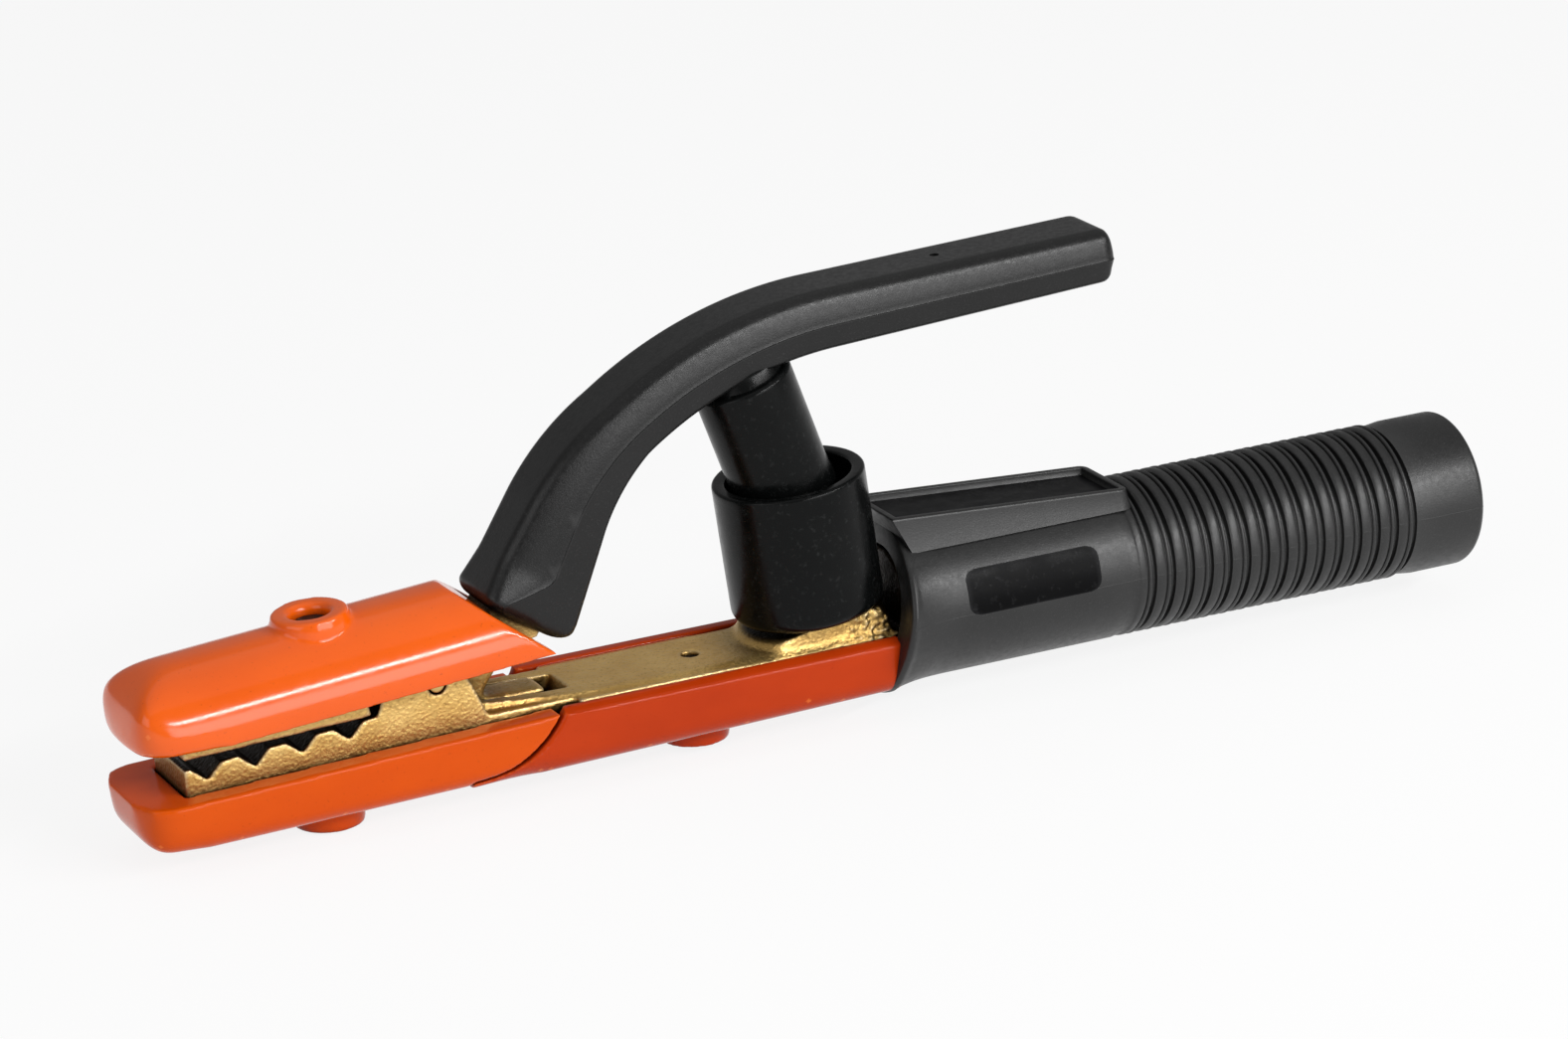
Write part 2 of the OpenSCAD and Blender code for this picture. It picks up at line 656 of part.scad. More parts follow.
// Lower tip: trough with a rounded nose, a round rear parting and a screw boss
module lower_tip_insulator() {
    tip_l = nose_l + chin_draft + parting_c[0] + parting_r;
    tip_h = belly_drop - rim_drop;
    color(ORANGE) place() difference() {
        union() {
            intersection() {
                pitched(belly_pitch) translate([-pivot_x - nose_l - chin_draft, 0, -belly_drop])
                    tip_block(tip_l, tip_w, 2 * tip_h, nose_r, bow_r, belly_r, chin_r, 2 * chin_draft);
                pitched(rim_pitch) translate([-pivot_x - 2 * nose_l, -tip_w, -rim_drop - 2 * tip_h])
                    cube([2 * tip_l, 2 * tip_w, 2 * tip_h]);
                union() {
                    translate([-2 * nose_l, -tip_w, -tip_w])
                        cube([parting_c[0] + 2 * nose_l, 2 * tip_w, 2 * tip_w]);
                    disc(parting_c, parting_r, 2 * tip_w);
                }
            }
            pitched(belly_pitch) translate([boss_x - pivot_x, 0, -belly_drop])
                boss(boss_d, boss_h, tip_floor / 2);
        }
        pitched(belly_pitch) translate([-pivot_x - slip_gap, -cavity_w / 2, -jaw_foot - seat_gap])
            cube([tip_l + over, cavity_w, 2 * tip_h]);
        pitched(belly_pitch) translate([boss_x - pivot_x, 0, -belly_drop]) screw_well(tip_floor, boss_h);
    }
}

module lower_tip_screw() {
    color(STEEL) place() pitched(belly_pitch) translate([boss_x - pivot_x, 0, -belly_drop])
        slot_screw(tip_floor + tip_bite);
}

// Trough under the bar between the lower tip and the handle
module body_insulator() {
    l = bar_l - slip_gap;
    color(ORANGE) place() difference() {
        union() {
            intersection() {
                at([body_boss_x, -trough_base], trough_pitch) translate([-bar_l, 0, 0])
                    rotate([90, 0, 90]) linear_extrude(2 * bar_l)
                        trough_section(trough_w, 2 * trough_base, belly_r);
                translate([parting_c[0], -trough_w, -2 * trough_base - trough_rim])
                    cube([l - parting_c[0], 2 * trough_w, 2 * trough_base]);
            }
            translate([body_boss_x, 0, -trough_base]) boss(boss_d, body_boss_h, over);
        }
        disc(trough_front_c, trough_front_r, 2 * trough_w);
        translate([parting_c[0], -bar_w / 2 - slip_gap, -bar_depth - seat_gap])
            cube([l, bar_w + 2 * slip_gap, bar_depth]);
        translate([body_boss_x, 0, -trough_base]) screw_well(trough_base, body_boss_h);
    }
}

module body_insulator_screw() {
    color(STEEL) place() translate([body_boss_x, 0, -trough_base]) slot_screw(body_screw_l);
}

// Cup that keeps the spring off the body
module lower_spring_cup() {
    color(BLACK) place() on_seat() translate([0, 0, seat_gap]) difference() {
        cylinder(h = lower_cup_h, d = lower_cup_d);
        translate([0, 0, cup_floor]) cylinder(h = lower_cup_h, d = lower_cup_d - 2 * lower_cup_wall);
        translate([0, 0, -over]) cylinder(h = cup_floor + 2 * over, r = spigot_r + slip_gap);
    }
}

// Steel ring under an end of the spring
module spring_washer(d) {
    difference() {
        cylinder(h = washer_t, d = d);
        translate([0, 0, -over]) cylinder(h = washer_t + 2 * over, r = post_r + slip_gap);
    }
}

module lower_spring_washer() {
    color(STEEL) place() on_seat() translate([0, 0, 2 * seat_gap + cup_floor])
        spring_washer(lower_cup_d - 2 * lower_cup_wall - 4 * slip_gap);
}

// Spring along a curve that is square to both seats
curl_rings = 8;
wire_sides = 6;
spring_rings = spring_turns * curl_rings;
spring_reach = norm(spring_high - spring_low) / 3;
spring_c = [spring_low, spring_low + spring_reach * leaning(seat_lean),
    spring_high - spring_reach * leaning(cap_lean), spring_high];
function mix(a, b, u) = a + (b - a) * u;
function mix3(a, b, c, u) = mix(mix(a, b, u), mix(b, c, u), u);
function spring_axis(u) =
    mix(mix3(spring_c[0], spring_c[1], spring_c[2], u), mix3(spring_c[1], spring_c[2], spring_c[3], u), u);
function spring_lean(u) = mix(seat_lean, cap_lean, u);
function coil_out(u) =
    let (t = 360 * spring_turns * u, b = spring_lean(u)) [cos(t) * cos(b), sin(t), cos(t) * sin(b)];
function coil_up(u) = let (b = spring_lean(u)) [-sin(b), 0, cos(b)];
function coil_point(u) = let (c = spring_axis(u)) [c[0], 0, c[1]] + spring_d / 2 * coil_out(u);
function wire_ring(u) = [for (k = [0:wire_sides - 1]) let (t = 360 * k / wire_sides)
    coil_point(u) + wire_d / 2 * (cos(t) * coil_out(u) + sin(t) * coil_up(u))];
least_gap = min([for (i = [0:spring_rings - curl_rings])
    norm(coil_point(i / spring_rings) - coil_point((i + curl_rings) / spring_rings))]) - wire_d;
echo(least_spring_gap = least_gap);

// Triangles between rows of n points each, the first row at index a
function strip(a, rows, n, inward) = [for (i = [0:rows - 2]) for (k = [0:n - 1])
    let (p = a + i * n + k, q = a + i * n + (k + 1) % n)
    each inward ? [[p, q + n, q], [p, p + n, q + n]] : [[p, q, q + n], [p, q + n, p + n]]];
// Triangles over a ring of n points from index a
function lid(a, n, flip) = [for (k = [1:n - 2]) flip ? [a, a + k + 1, a + k] : [a, a + k, a + k + 1]];

module main_spring() {
    pts = [for (i = [0:spring_rings]) each wire_ring(i / spring_rings)];
    color(STEEL) place() polyhedron(pts, concat(
        strip(0, spring_rings + 1, wire_sides, false), lid(0, wire_sides, true),
        lid(spring_rings * wire_sides, wire_sides, false)));
}

// Outline of the handle's wall, as radius and distance from its front face
rib_first = handle_l - plain_l - (rib_count - 1) * rib_pitch;
groove_w = 0.9;
bead_w = 1.15;
hair_w = 0.45;
bead_rise = 0.15;
lip_r = 0.6;
bore_r = barrel_r + slip_gap;
bore_l = barrel_gap + barrel_l + 2 * slip_gap;
function flare_r(h) = handle_r + (flare_d / 2 - handle_r) * pow(1 - h / flare_l, 2);
// One rib: a hairline, a raised bead and a groove centred at c
function rib(c) = let (g = c - groove_w / 2, b = g - bead_w) [
    [handle_r, b - hair_w], [handle_r - rib_depth / 2, b - hair_w / 2], [handle_r, b],
    [handle_r + bead_rise, b + bead_w / 3], [handle_r + bead_rise, g - bead_w / 3], [handle_r, g],
    [handle_r - rib_depth, c - groove_w / 4], [handle_r - rib_depth, c + groove_w / 4],
    [handle_r, c + groove_w / 2]
];
handle_profile = concat(
    [[bore_r, 0]],
    arc([flare_d / 2 - lip_r, lip_r], lip_r, -90, 0, 3),
    [for (i = [1:8]) [flare_r(flare_l * i / 8), flare_l * i / 8]],
    [for (i = [0:rib_count - 1]) each rib(rib_first + i * rib_pitch)],
    arc([handle_r - end_round, handle_l - end_round], end_round, 0, 90, 6),
    [[cable_d / 2, handle_l], [cable_d / 2, bore_l], [bore_r, bore_l]]
);

// Side view of the wedge-shaped name frame, lowered by d
module frame_side(d) {
    polygon([
        [bar_l, 0], [bar_l, handle_r], [bar_l + frame_slant, handle_r + frame_rise_front - d],
        [bar_l + frame_l, handle_r + frame_rise_rear - d], [bar_l + frame_l, 0]
    ]);
}

// Ribbed handle tube with a flared front and a recessed name frame on top
module handle() {
    frame_r = 2;
    inset = frame_slant + frame_wall / 2;
    color(GREY) place() difference() {
        union() {
            intersection() {
                translate([bar_l, 0, 0]) along_x() rotate_extrude($fn = 96) polygon(handle_profile);
                translate([bar_l, -flare_d, -flare_flat]) cube([handle_l, 2 * flare_d, 2 * flare_d]);
            }
            intersection() {
                across(frame_w) frame_side(0);
                translate([bar_l - frame_r, -frame_w / 2, bore_r - over])
                    linear_extrude(handle_d) round_rect(frame_l + frame_r, frame_w, frame_r);
            }
        }
        intersection() {
            translate([bar_l + inset, -frame_w / 2 + frame_wall, 0]) linear_extrude(handle_d)
                round_rect(frame_l - inset - frame_wall, frame_w - 2 * frame_wall, frame_r / 2);
            difference() {
                translate([bar_l - over, -frame_w, 0]) cube([frame_l + 2 * over, 2 * frame_w, handle_d]);
                across(2 * frame_w + over) frame_side(frame_sink);
            }
        }
        translate([bar_l - over, 0, 0]) along_x() cylinder(h = bore_l + over, r = bore_r);
        on_seat() translate([0, 0, -over])
            cylinder(h = lower_cup_h + 2 * over, d = lower_cup_d + 2 * move_gap);
        translate([handle_screw_x, 0, -handle_seat]) screw_well(handle_r, screw_head_h + head_sink);
    }
}

// Screw that keeps the handle on the socket barrel
module handle_screw() {
    color(STEEL) place() translate([handle_screw_x, 0, -handle_seat])
        slot_screw(handle_seat - barrel_r + handle_bite - head_sink);
}

// Hexagon-socket screw that clamps the cable
module set_screw() {
    translate([0, 0, socket_r + 2 * seat_gap]) difference() {
        cylinder(h = set_screw_l, d = set_screw_d);
        translate([0, 0, set_screw_l / 2]) cylinder(h = set_screw_l, d = set_screw_d * 0.56, $fn = 6);
    }
}

module front_set_screw() {
    color(STEEL) place() translate([set_screw_x[0], 0, 0]) set_screw();
}

module rear_set_screw() {
    color(STEEL) place() translate([set_screw_x[1], 0, 0]) set_screw();
}

// Split copper sleeve round the bared conductor
module cable_shim() {
    split_w = 3;
    color(COPPER) place() translate([socket_end - shim_l, 0, 0]) difference() {
        along_x() cylinder(h = shim_l, r = socket_r - seat_gap);
        translate([-over, 0, 0]) along_x() cylinder(h = shim_l + 2 * over, r = socket_r - seat_gap - shim_t);
        translate([-over, -split_w / 2, -socket_d]) cube([shim_l + 2 * over, split_w, socket_d]);
    }
}

// Brass lever: upper jaw, pivot tongue, stop heel, neck, core and the post of the upper cup
module lever_casting() {
    color(BRASS) place() difference() {
        union() {
            upper_jaw();
            across(tongue_w) tongue_side();
            across(core_w) neck_side();
            across(core_w) core_side();
            under_lever() translate([0, 0, -lever_t(cap_s) / 2])
                cylinder(h = lever_t(cap_s) / 2 + cap_floor_h + washer_t, r = post_r);
        }
        disc([pivot_x, pivot_z], pin_d / 2 + pin_gap, 2 * tongue_w);
        pitched(grip_pitch) translate([cap_boss_x - pivot_x, 0, cap_jaw_top - tip_bite - over])
            cylinder(h = tip_bite + 2 * over, r = screw_d / 2 + thread_gap);
        sleeve_pin_hole();
    }
}

// Upper jaw, which closes first against the rearmost crests of the lower jaw
module upper_jaw() {
    low = grip_gap - grip_drop;
    rear = cheek_front - 1 - pivot_x;
    pitched(grip_pitch) across(jaw_w)
        polygon([[-pivot_x, low + grip_spread], [rear, low],
            [rear - 1.4, cap_jaw_top], [-pivot_x, cap_jaw_top]]);
}

// Side view of the tongue between the cheeks, with the stop heel
module tongue_side() {
    translate([pivot_x, pivot_z]) {
        circle(hub_r);
        rotate(grip_pitch) translate([cheek_front - 3 - pivot_x, grip_gap - grip_drop])
            square([pivot_x - cheek_front + 3, hub_r + 1 - grip_gap + grip_drop]);
        translate([0, -heel_drop - heel_t]) square([heel_l - heel_t / 2, heel_t]);
        translate([heel_l - heel_t / 2, -heel_drop - heel_t / 2]) circle(heel_t / 2);
        polygon([
            [0, -heel_drop - heel_t], [hub_r + 4, -heel_drop], [foot_dx - 5, 0],
            [foot_dx - 3, 3], [foot_dx - 8, hub_r + 1], [-hub_r / 2, hub_r + 1]
        ]);
    }
}

// Side view of the neck between the tongue and the lever's foot
module neck_side() {
    high = off_path(0, core_mid(0) + core_half(0));
    low = off_path(0, core_mid(0) - core_half(0));
    back = -heading(foot_cut);
    rear = [pivot_x + cheek_r + 4, pivot_z + 3.6];
    polygon([high, low, low + foot_gap * back, rear, rear + [0, 6], high + 2 * foot_gap * back]);
}

// Side view of the core in the lever
module core_side() {
    polygon(concat(
        [for (s = core_s) off_path(s, core_mid(s) + core_half(s))],
        [for (i = [len(core_s) - 1:-1:0]) off_path(core_s[i], core_mid(core_s[i]) - core_half(core_s[i]))]
    ));
}

// Hole for the pin through the sleeve's top and the core
module sleeve_pin_hole() {
    at(path_point(pin_s), path_angle(pin_s)) translate([0, 0, -core_t / 2])
        cylinder(h = core_t / 2 + lever_t(pin_s), r = sleeve_pin_d / 2 + thread_gap, $fn = 32);
}

// Cross-section of the lever: round top edges, widest at the mould parting, narrower underside
function lever_section(h, w, r) =
    let (right = concat(
        arc([w[0] / 2 - r[0], h - r[0]], r[0], 90, 10, 4), [[w[1] / 2, 0.3], [w[1] / 2, -0.3]],
        arc([w[2] / 2 - r[1], r[1] - h], r[1], -15, -90, 3)))
    concat(right, [for (i = [len(right) - 1:-1:0]) [-right[i][0], right[i][1]]]);
function lift(s, mid, q) = let (p = off_path(s, mid + q[1])) [p[0], q[0], p[1]];
// Outer row of points at s, drawn in by d
function skin(s, d) =
    let (w = [lever_top_w - 2 * d, lever_w - 2 * d, lever_low_w - 2 * d])
    [for (q = lever_section(lever_t(s) / 2 - d, w, [lever_top_r, lever_low_r])) lift(s, 0, q)];
// Row of points round the core at s
function tunnel(s) = let (w = core_w + 2 * slip_gap)
    [for (q = lever_section(core_half(s) + slip_gap, [w, w, w], [slip_gap, slip_gap])) lift(s, core_mid(s), q)];

// Moulded sleeve over the lever's core, open at the foot
module lever_sleeve() {
    foot_ends = [[0, 2.2], [0.7, 1], [1.8, 0.35], [3.2, 0]];
    tail_ends = [[2.4, 0], [0.8, 0.5], [0, 1.6]];
    skin_s = concat(foot_ends, [[foot_l / 2, 0], [foot_l, 0]], [for (s = bend_s) [s, 0]],
        [for (v = tail_ends) [lever_l - v[0], v[1]]]);
    rows = [for (v = skin_s) skin(v[0], v[1])];
    holes = [for (s = core_s) tunnel(s == core_end ? core_end + slip_gap : s)];
    n = len(rows[0]);
    inner = len(rows) * n;
    mouth = [for (k = [0:n - 1]) let (m = (k + 1) % n) each [[k, inner + m, m], [k, inner + k, inner + m]]];
    color(BLACK) place() difference() {
        polyhedron([for (r = concat(rows, holes)) each r], concat(
            strip(0, len(rows), n, false), strip(inner, len(holes), n, true), mouth,
            lid(inner - n, n, false), lid(inner + (len(holes) - 1) * n, n, true)));
        under_lever() {
            translate([0, 0, -collar_sink]) cylinder(h = collar_sink + 2 * over, r = collar_r + slip_gap);
            translate([0, 0, -lever_t(cap_s) / 2]) cylinder(h = lever_t(cap_s), r = post_r + slip_gap);
        }
        sleeve_pin_hole();
    }
}

module sleeve_pin() {
    color(STEEL) place() at(path_point(pin_s), path_angle(pin_s)) translate([0, 0, seat_gap - core_t / 2])
        cylinder(h = core_t / 2 + lever_t(pin_s) / 2 - head_sink, d = sleeve_pin_d, $fn = 32);
}

// Upper tip: cap with skirts, cut square to the lever's foot at the rear
module upper_tip_insulator() {
    cap_l = pivot_x + cap_nose_l + 2 * foot_dx;
    cut = foot_p - foot_gap * heading(foot_cut);
    color(ORANGE) place() difference() {
        union() {
            pitched(grip_pitch) translate([-pivot_x - cap_nose_l, 0, cap_top]) mirror([0, 0, 1])
                tip_block(cap_l, tip_w, cap_h, cap_nose_r, cap_bow_r, crown_r, cap_chin_r, 0);
            pitched(grip_pitch) translate([cap_boss_x - pivot_x, 0, cap_top]) mirror([0, 0, 1])
                boss(cap_boss_d, cap_boss_h, roof_t / 2);
        }
        pitched(grip_pitch) translate([-pivot_x - slip_gap, -cap_cavity_w / 2, cap_top - roof_t - cap_h])
            cube([cap_l + over, cap_cavity_w, cap_h]);
        at(cut, cap_cut - 90) translate([-tip_w, -tip_w, 0]) cube(2 * tip_w);
        pitched(grip_pitch) translate([cap_boss_x - pivot_x, 0, cap_top - cap_seat_sink]) mirror([0, 0, 1])
            screw_well(roof_t, cap_boss_h + cap_seat_sink);
    }
}

module upper_tip_screw() {
    color(STEEL) place() pitched(grip_pitch) translate([cap_boss_x - pivot_x, 0, cap_top - cap_seat_sink])
        mirror([0, 0, 1]) slot_screw(roof_t - cap_seat_sink + tip_bite);
}

// Cup that keeps the spring off the lever and slides into the lower cup
collar_r = upper_cup_d / 2 - 1.6;
module upper_spring_cup() {
    lip_h = 6;
    color(BLACK) place() under_lever() difference() {
        union() {
            translate([0, 0, seat_gap - collar_sink]) cylinder(h = collar_sink + collar_h, r = collar_r);
            translate([0, 0, collar_h]) cylinder(h = upper_cup_h, d = upper_cup_d);
            translate([0, 0, collar_h + upper_cup_h - lip_h])
                cylinder(h = lip_h, d1 = upper_cup_d, d2 = upper_cup_d + 2 * cup_lip);
        }
        translate([0, 0, cap_floor_h]) cylinder(h = upper_cup_h, d = upper_cup_d - 2 * upper_cup_wall);
        translate([0, 0, -collar_sink - over])
            cylinder(h = collar_sink + cap_floor_h + 2 * over, r = post_r + slip_gap);
    }
}

module upper_spring_washer() {
    color(STEEL) place() under_lever() translate([0, 0, seat_gap + cap_floor_h])
        spring_washer(upper_cup_d - 2 * upper_cup_wall - 2 * slip_gap);
}

body_casting();
pivot_pin();
lower_tip_insulator();
lower_tip_screw();
body_insulator();
body_insulator_screw();
lower_spring_cup();
lower_spring_washer();
main_spring();
handle();
handle_screw();
front_set_screw();
rear_set_screw();
cable_shim();
lever_casting();
lever_sleeve();
sleeve_pin();
upper_tip_insulator();
upper_tip_screw();
upper_spring_cup();
upper_spring_washer();
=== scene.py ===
import math

import bmesh
import bpy
from mathutils import Matrix, Vector, noise


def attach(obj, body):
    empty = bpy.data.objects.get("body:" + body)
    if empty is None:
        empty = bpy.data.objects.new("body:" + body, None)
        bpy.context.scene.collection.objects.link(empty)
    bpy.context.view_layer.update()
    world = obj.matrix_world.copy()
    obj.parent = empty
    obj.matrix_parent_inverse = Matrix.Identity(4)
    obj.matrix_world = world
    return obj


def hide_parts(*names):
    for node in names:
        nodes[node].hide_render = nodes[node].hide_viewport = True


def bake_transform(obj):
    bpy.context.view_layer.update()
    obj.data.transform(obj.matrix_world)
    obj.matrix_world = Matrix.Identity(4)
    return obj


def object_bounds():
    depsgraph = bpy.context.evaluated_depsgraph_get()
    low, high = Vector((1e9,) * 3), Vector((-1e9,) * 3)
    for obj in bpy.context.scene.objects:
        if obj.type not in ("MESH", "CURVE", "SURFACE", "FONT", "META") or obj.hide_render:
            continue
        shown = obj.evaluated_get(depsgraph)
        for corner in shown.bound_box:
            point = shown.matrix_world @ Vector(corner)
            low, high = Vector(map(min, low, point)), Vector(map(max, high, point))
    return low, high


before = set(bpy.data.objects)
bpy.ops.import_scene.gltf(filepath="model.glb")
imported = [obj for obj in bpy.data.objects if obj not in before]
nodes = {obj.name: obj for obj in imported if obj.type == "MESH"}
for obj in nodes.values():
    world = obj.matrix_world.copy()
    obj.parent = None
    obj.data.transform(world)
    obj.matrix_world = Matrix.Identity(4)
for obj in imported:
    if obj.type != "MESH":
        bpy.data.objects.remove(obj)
cad_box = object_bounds()
scene = bpy.context.scene

# Sizes are in millimetres and angles in degrees. X is the station behind the front face of the jaws.
MM = 0.001
HOLDER_L = 281.0
PIVOT = (51.5, 5.55)
HANDLE_R = 16.2


def at(x, y, z):
    """A station point as a point of the row frame, in metres."""
    return Vector(((x - HOLDER_L) * MM, y * MM, z * MM))


def in_plane(p):
    """A point in the middle plane of the holder, given by its station and height."""
    return at(p[0], 0, p[1])


def station(v):
    """A point of the row frame as a station, in millimetres."""
    return v.x / MM + HOLDER_L, v.y / MM, v.z / MM


def ramp(v, full, none):
    """One at full, nought at none, straight between them."""
    return min(1, max(0, (v - none) / (full - none)))


# Materials


def linear(c):
    """Linear colour of an sRGB colour given from 0 to 255."""
    out = []
    for v in c:
        v /= 255
        out.append(v / 12.92 if v <= 0.04045 else ((v + 0.055) / 1.055) ** 2.4)
    return (*out, 1)


class Nodes:
    """A material whose node tree is built step by step and ends in its Principled shader."""

    def __init__(self, name):
        self.mat = bpy.data.materials.new(name)
        self.mat.use_nodes = True
        self.tree = self.mat.node_tree
        self.shader = self.tree.nodes["Principled BSDF"]
        self.coord = self.tree.nodes.new("ShaderNodeTexCoord").outputs["Object"]

    def add(self, kind, **values):
        node = self.tree.nodes.new(kind)
        for key, value in values.items():
            setattr(node, key, value)
        return node

    def link(self, a, b):
        self.tree.links.new(a, b)

    def stretched(self, scale):
        node = self.add("ShaderNodeMapping")
        node.inputs["Scale"].default_value = scale
        self.link(self.coord, node.inputs["Vector"])
        return node.outputs["Vector"]

    def noise(self, scale, detail=3.0, rough=0.55, vector=None):
        node = self.add("ShaderNodeTexNoise")
        node.inputs["Scale"].default_value = scale
        node.inputs["Detail"].default_value = detail
        node.inputs["Roughness"].default_value = rough
        self.link(vector or self.coord, node.inputs["Vector"])
        return node.outputs["Fac"]

    def cells(self, scale):
        node = self.add("ShaderNodeTexVoronoi")
        node.inputs["Scale"].default_value = scale
        self.link(self.coord, node.inputs["Vector"])
        return node.outputs["Distance"]

    def spread(self, fac, low, high, a=0.35, b=0.65):
        """Maps a factor from a to b onto low to high."""
        node = self.add("ShaderNodeMapRange")
        node.inputs["From Min"].default_value = a
        node.inputs["From Max"].default_value = b
        node.inputs["To Min"].default_value = low
        node.inputs["To Max"].default_value = high
        self.link(fac, node.inputs["Value"])
        return node.outputs["Result"]

    def blend(self, fac, a, b):
        """Colour a, turned into colour b by a factor."""
        node = self.add("ShaderNodeMix", data_type="RGBA")
        self.link(fac, node.inputs["Factor"])
        for key, value in ((6, a), (7, b)):
            if isinstance(value, tuple):
                node.inputs[key].default_value = value
            else:
                self.link(value, node.inputs[key])
        return node.outputs[2]

    def times(self, fac, share):
        node = self.add("ShaderNodeMath", operation="MULTIPLY")
        self.link(fac, node.inputs[0])
        node.inputs[1].default_value = share
        return node.outputs["Value"]

    def edges(self, low, high):
        """Mask for painted highlights: nought on flats, one on edges that stand out."""
        node = self.add("ShaderNodeNewGeometry")
        return self.spread(node.outputs["Pointiness"], 0, 1, low, high)

    def hollows(self, reach, low, high):
        """Mask for painted shade: one deep in corners and gaps, nought in the open."""
        node = self.add("ShaderNodeAmbientOcclusion")
        node.inputs["Distance"].default_value = reach
        return self.spread(node.outputs["AO"], 1, 0, low, high)

    def bump(self, height, distance, strength, under=None):
        node = self.add("ShaderNodeBump")
        node.inputs["Strength"].default_value = strength
        node.inputs["Distance"].default_value = distance
        self.link(height, node.inputs["Height"])
        if under is not None:
            self.link(under, node.inputs["Normal"])
        return node.outputs["Normal"]

    def done(self, color, rough, normal, metallic=0.0, specular=0.5):
        s = self.shader.inputs
        self.link(color, s["Base Color"])
        self.link(rough, s["Roughness"])
        self.link(normal, s["Normal"])
        s["Metallic"].default_value = metallic
        s["Specular IOR Level"].default_value = specular
        return self.mat


def orange_plastic(name, light, dark, specular):
    """Glossy moulded insulator with faint flow marks, a painted highlight on its edges and painted shade in its
    corners.
    """
    speck_tone, edge_highlight_tone, corner_shade_tone = linear((140, 44, 8)), linear((250, 140, 60)), linear((92, 22, 4))
    n = Nodes(name)
    flow = n.noise(scale=38, detail=4, rough=0.6, vector=n.stretched((0.5, 1, 1)))
    speck = n.noise(scale=1500, detail=2)
    color = n.blend(n.spread(flow, 0, 1), linear(light), linear(dark))
    color = n.blend(n.spread(speck, 0, 0.4, 0.66, 0.8), color, speck_tone)
    # Paler where edges stand out: a painted highlight.
    color = n.blend(n.times(n.edges(0.53, 0.62), 0.35), color, edge_highlight_tone)
    # Darker in corners and gaps: painted shade.
    color = n.blend(n.times(n.hollows(0.004, 0.15, 0.7), 0.7), color, corner_shade_tone)
    rough = n.spread(n.noise(scale=420, detail=5, rough=0.65), 0.11, 0.17)
    normal = n.bump(n.noise(scale=700, detail=4), distance=0.00001, strength=0.5)
    normal = n.bump(speck, distance=0.00001, strength=0.4, under=normal)
    return n.done(color, rough, normal, specular=specular)


def cast_brass(name):
    """As-cast brass: sandy grain, a painted highlight on its edges and painted brown shade in the hollows."""
    light, dark = linear((255, 214, 134)), linear((228, 182, 102))
    grain_tone, edge_highlight_tone, hollow_shade_tone = linear((112, 78, 30)), linear((255, 240, 200)), linear((38, 25, 8))
    n = Nodes(name)
    sand = n.noise(scale=1300, detail=4, rough=0.65)
    patch = n.noise(scale=120, detail=5, rough=0.6)
    color = n.blend(n.spread(patch, 0, 1, 0.3, 0.7), light, dark)
    color = n.blend(n.spread(sand, 0, 0.6, 0.56, 0.76), color, grain_tone)
    # Paler where edges stand out: a painted highlight.
    color = n.blend(n.times(n.edges(0.51, 0.57), 0.7), color, edge_highlight_tone)
    # Darker in hollows and round the cup's foot: painted shade.
    color = n.blend(n.hollows(0.012, 0.3, 0.92), color, hollow_shade_tone)
    rough = n.spread(sand, 0.28, 0.46)
    normal = n.bump(n.cells(1300), distance=0.00016, strength=0.5)
    normal = n.bump(sand, distance=0.0002, strength=0.8, under=normal)
    return n.done(color, rough, normal, metallic=0.92)


def black_plastic(name, light, dark, grain, rough, depth, specular):
    """Moulded black plastic with a fine grain and paler scuffs, and a painted highlight on its edges."""
    # One paler tone serves for real scuffs in the grain and for the painted highlight on the edges.
    scuff_and_highlight_lift = 30
    scuff_and_highlight_tone = linear(tuple(min(255, c + scuff_and_highlight_lift) for c in light))
    n = Nodes(name)
    cloud = n.noise(scale=55, detail=4)
    fine = n.noise(scale=grain, detail=3, rough=0.6)
    color = n.blend(n.spread(cloud, 0, 1), linear(dark), linear(light))
    color = n.blend(n.spread(fine, 0, 0.6, 0.58, 0.74), color, scuff_and_highlight_tone)
    # Paler where edges stand out: a painted highlight.
    color = n.blend(n.times(n.edges(0.52, 0.6), 0.5), color, scuff_and_highlight_tone)
    roughness = n.spread(n.noise(scale=grain / 3, detail=3), *rough)
    normal = n.bump(fine, distance=depth, strength=0.6)
    return n.done(color, roughness, normal, specular=specular)


def bare_metal(name, light, dark, rough):
    """Plated or drawn metal with fine turning marks."""
    n = Nodes(name)
    lines = n.noise(scale=700, detail=3, rough=0.6, vector=n.stretched((1, 1, 6)))
    cloud = n.noise(scale=180, detail=4)
    color = n.blend(n.spread(cloud, 0, 1), linear(light), linear(dark))
    roughness = n.spread(lines, *rough)
    normal = n.bump(lines, distance=0.00003, strength=0.5)
    return n.done(color, roughness, normal, metallic=1.0)


ORANGE_TIP = orange_plastic("orange_tip", (229, 92, 6), (220, 84, 4), 0.46)
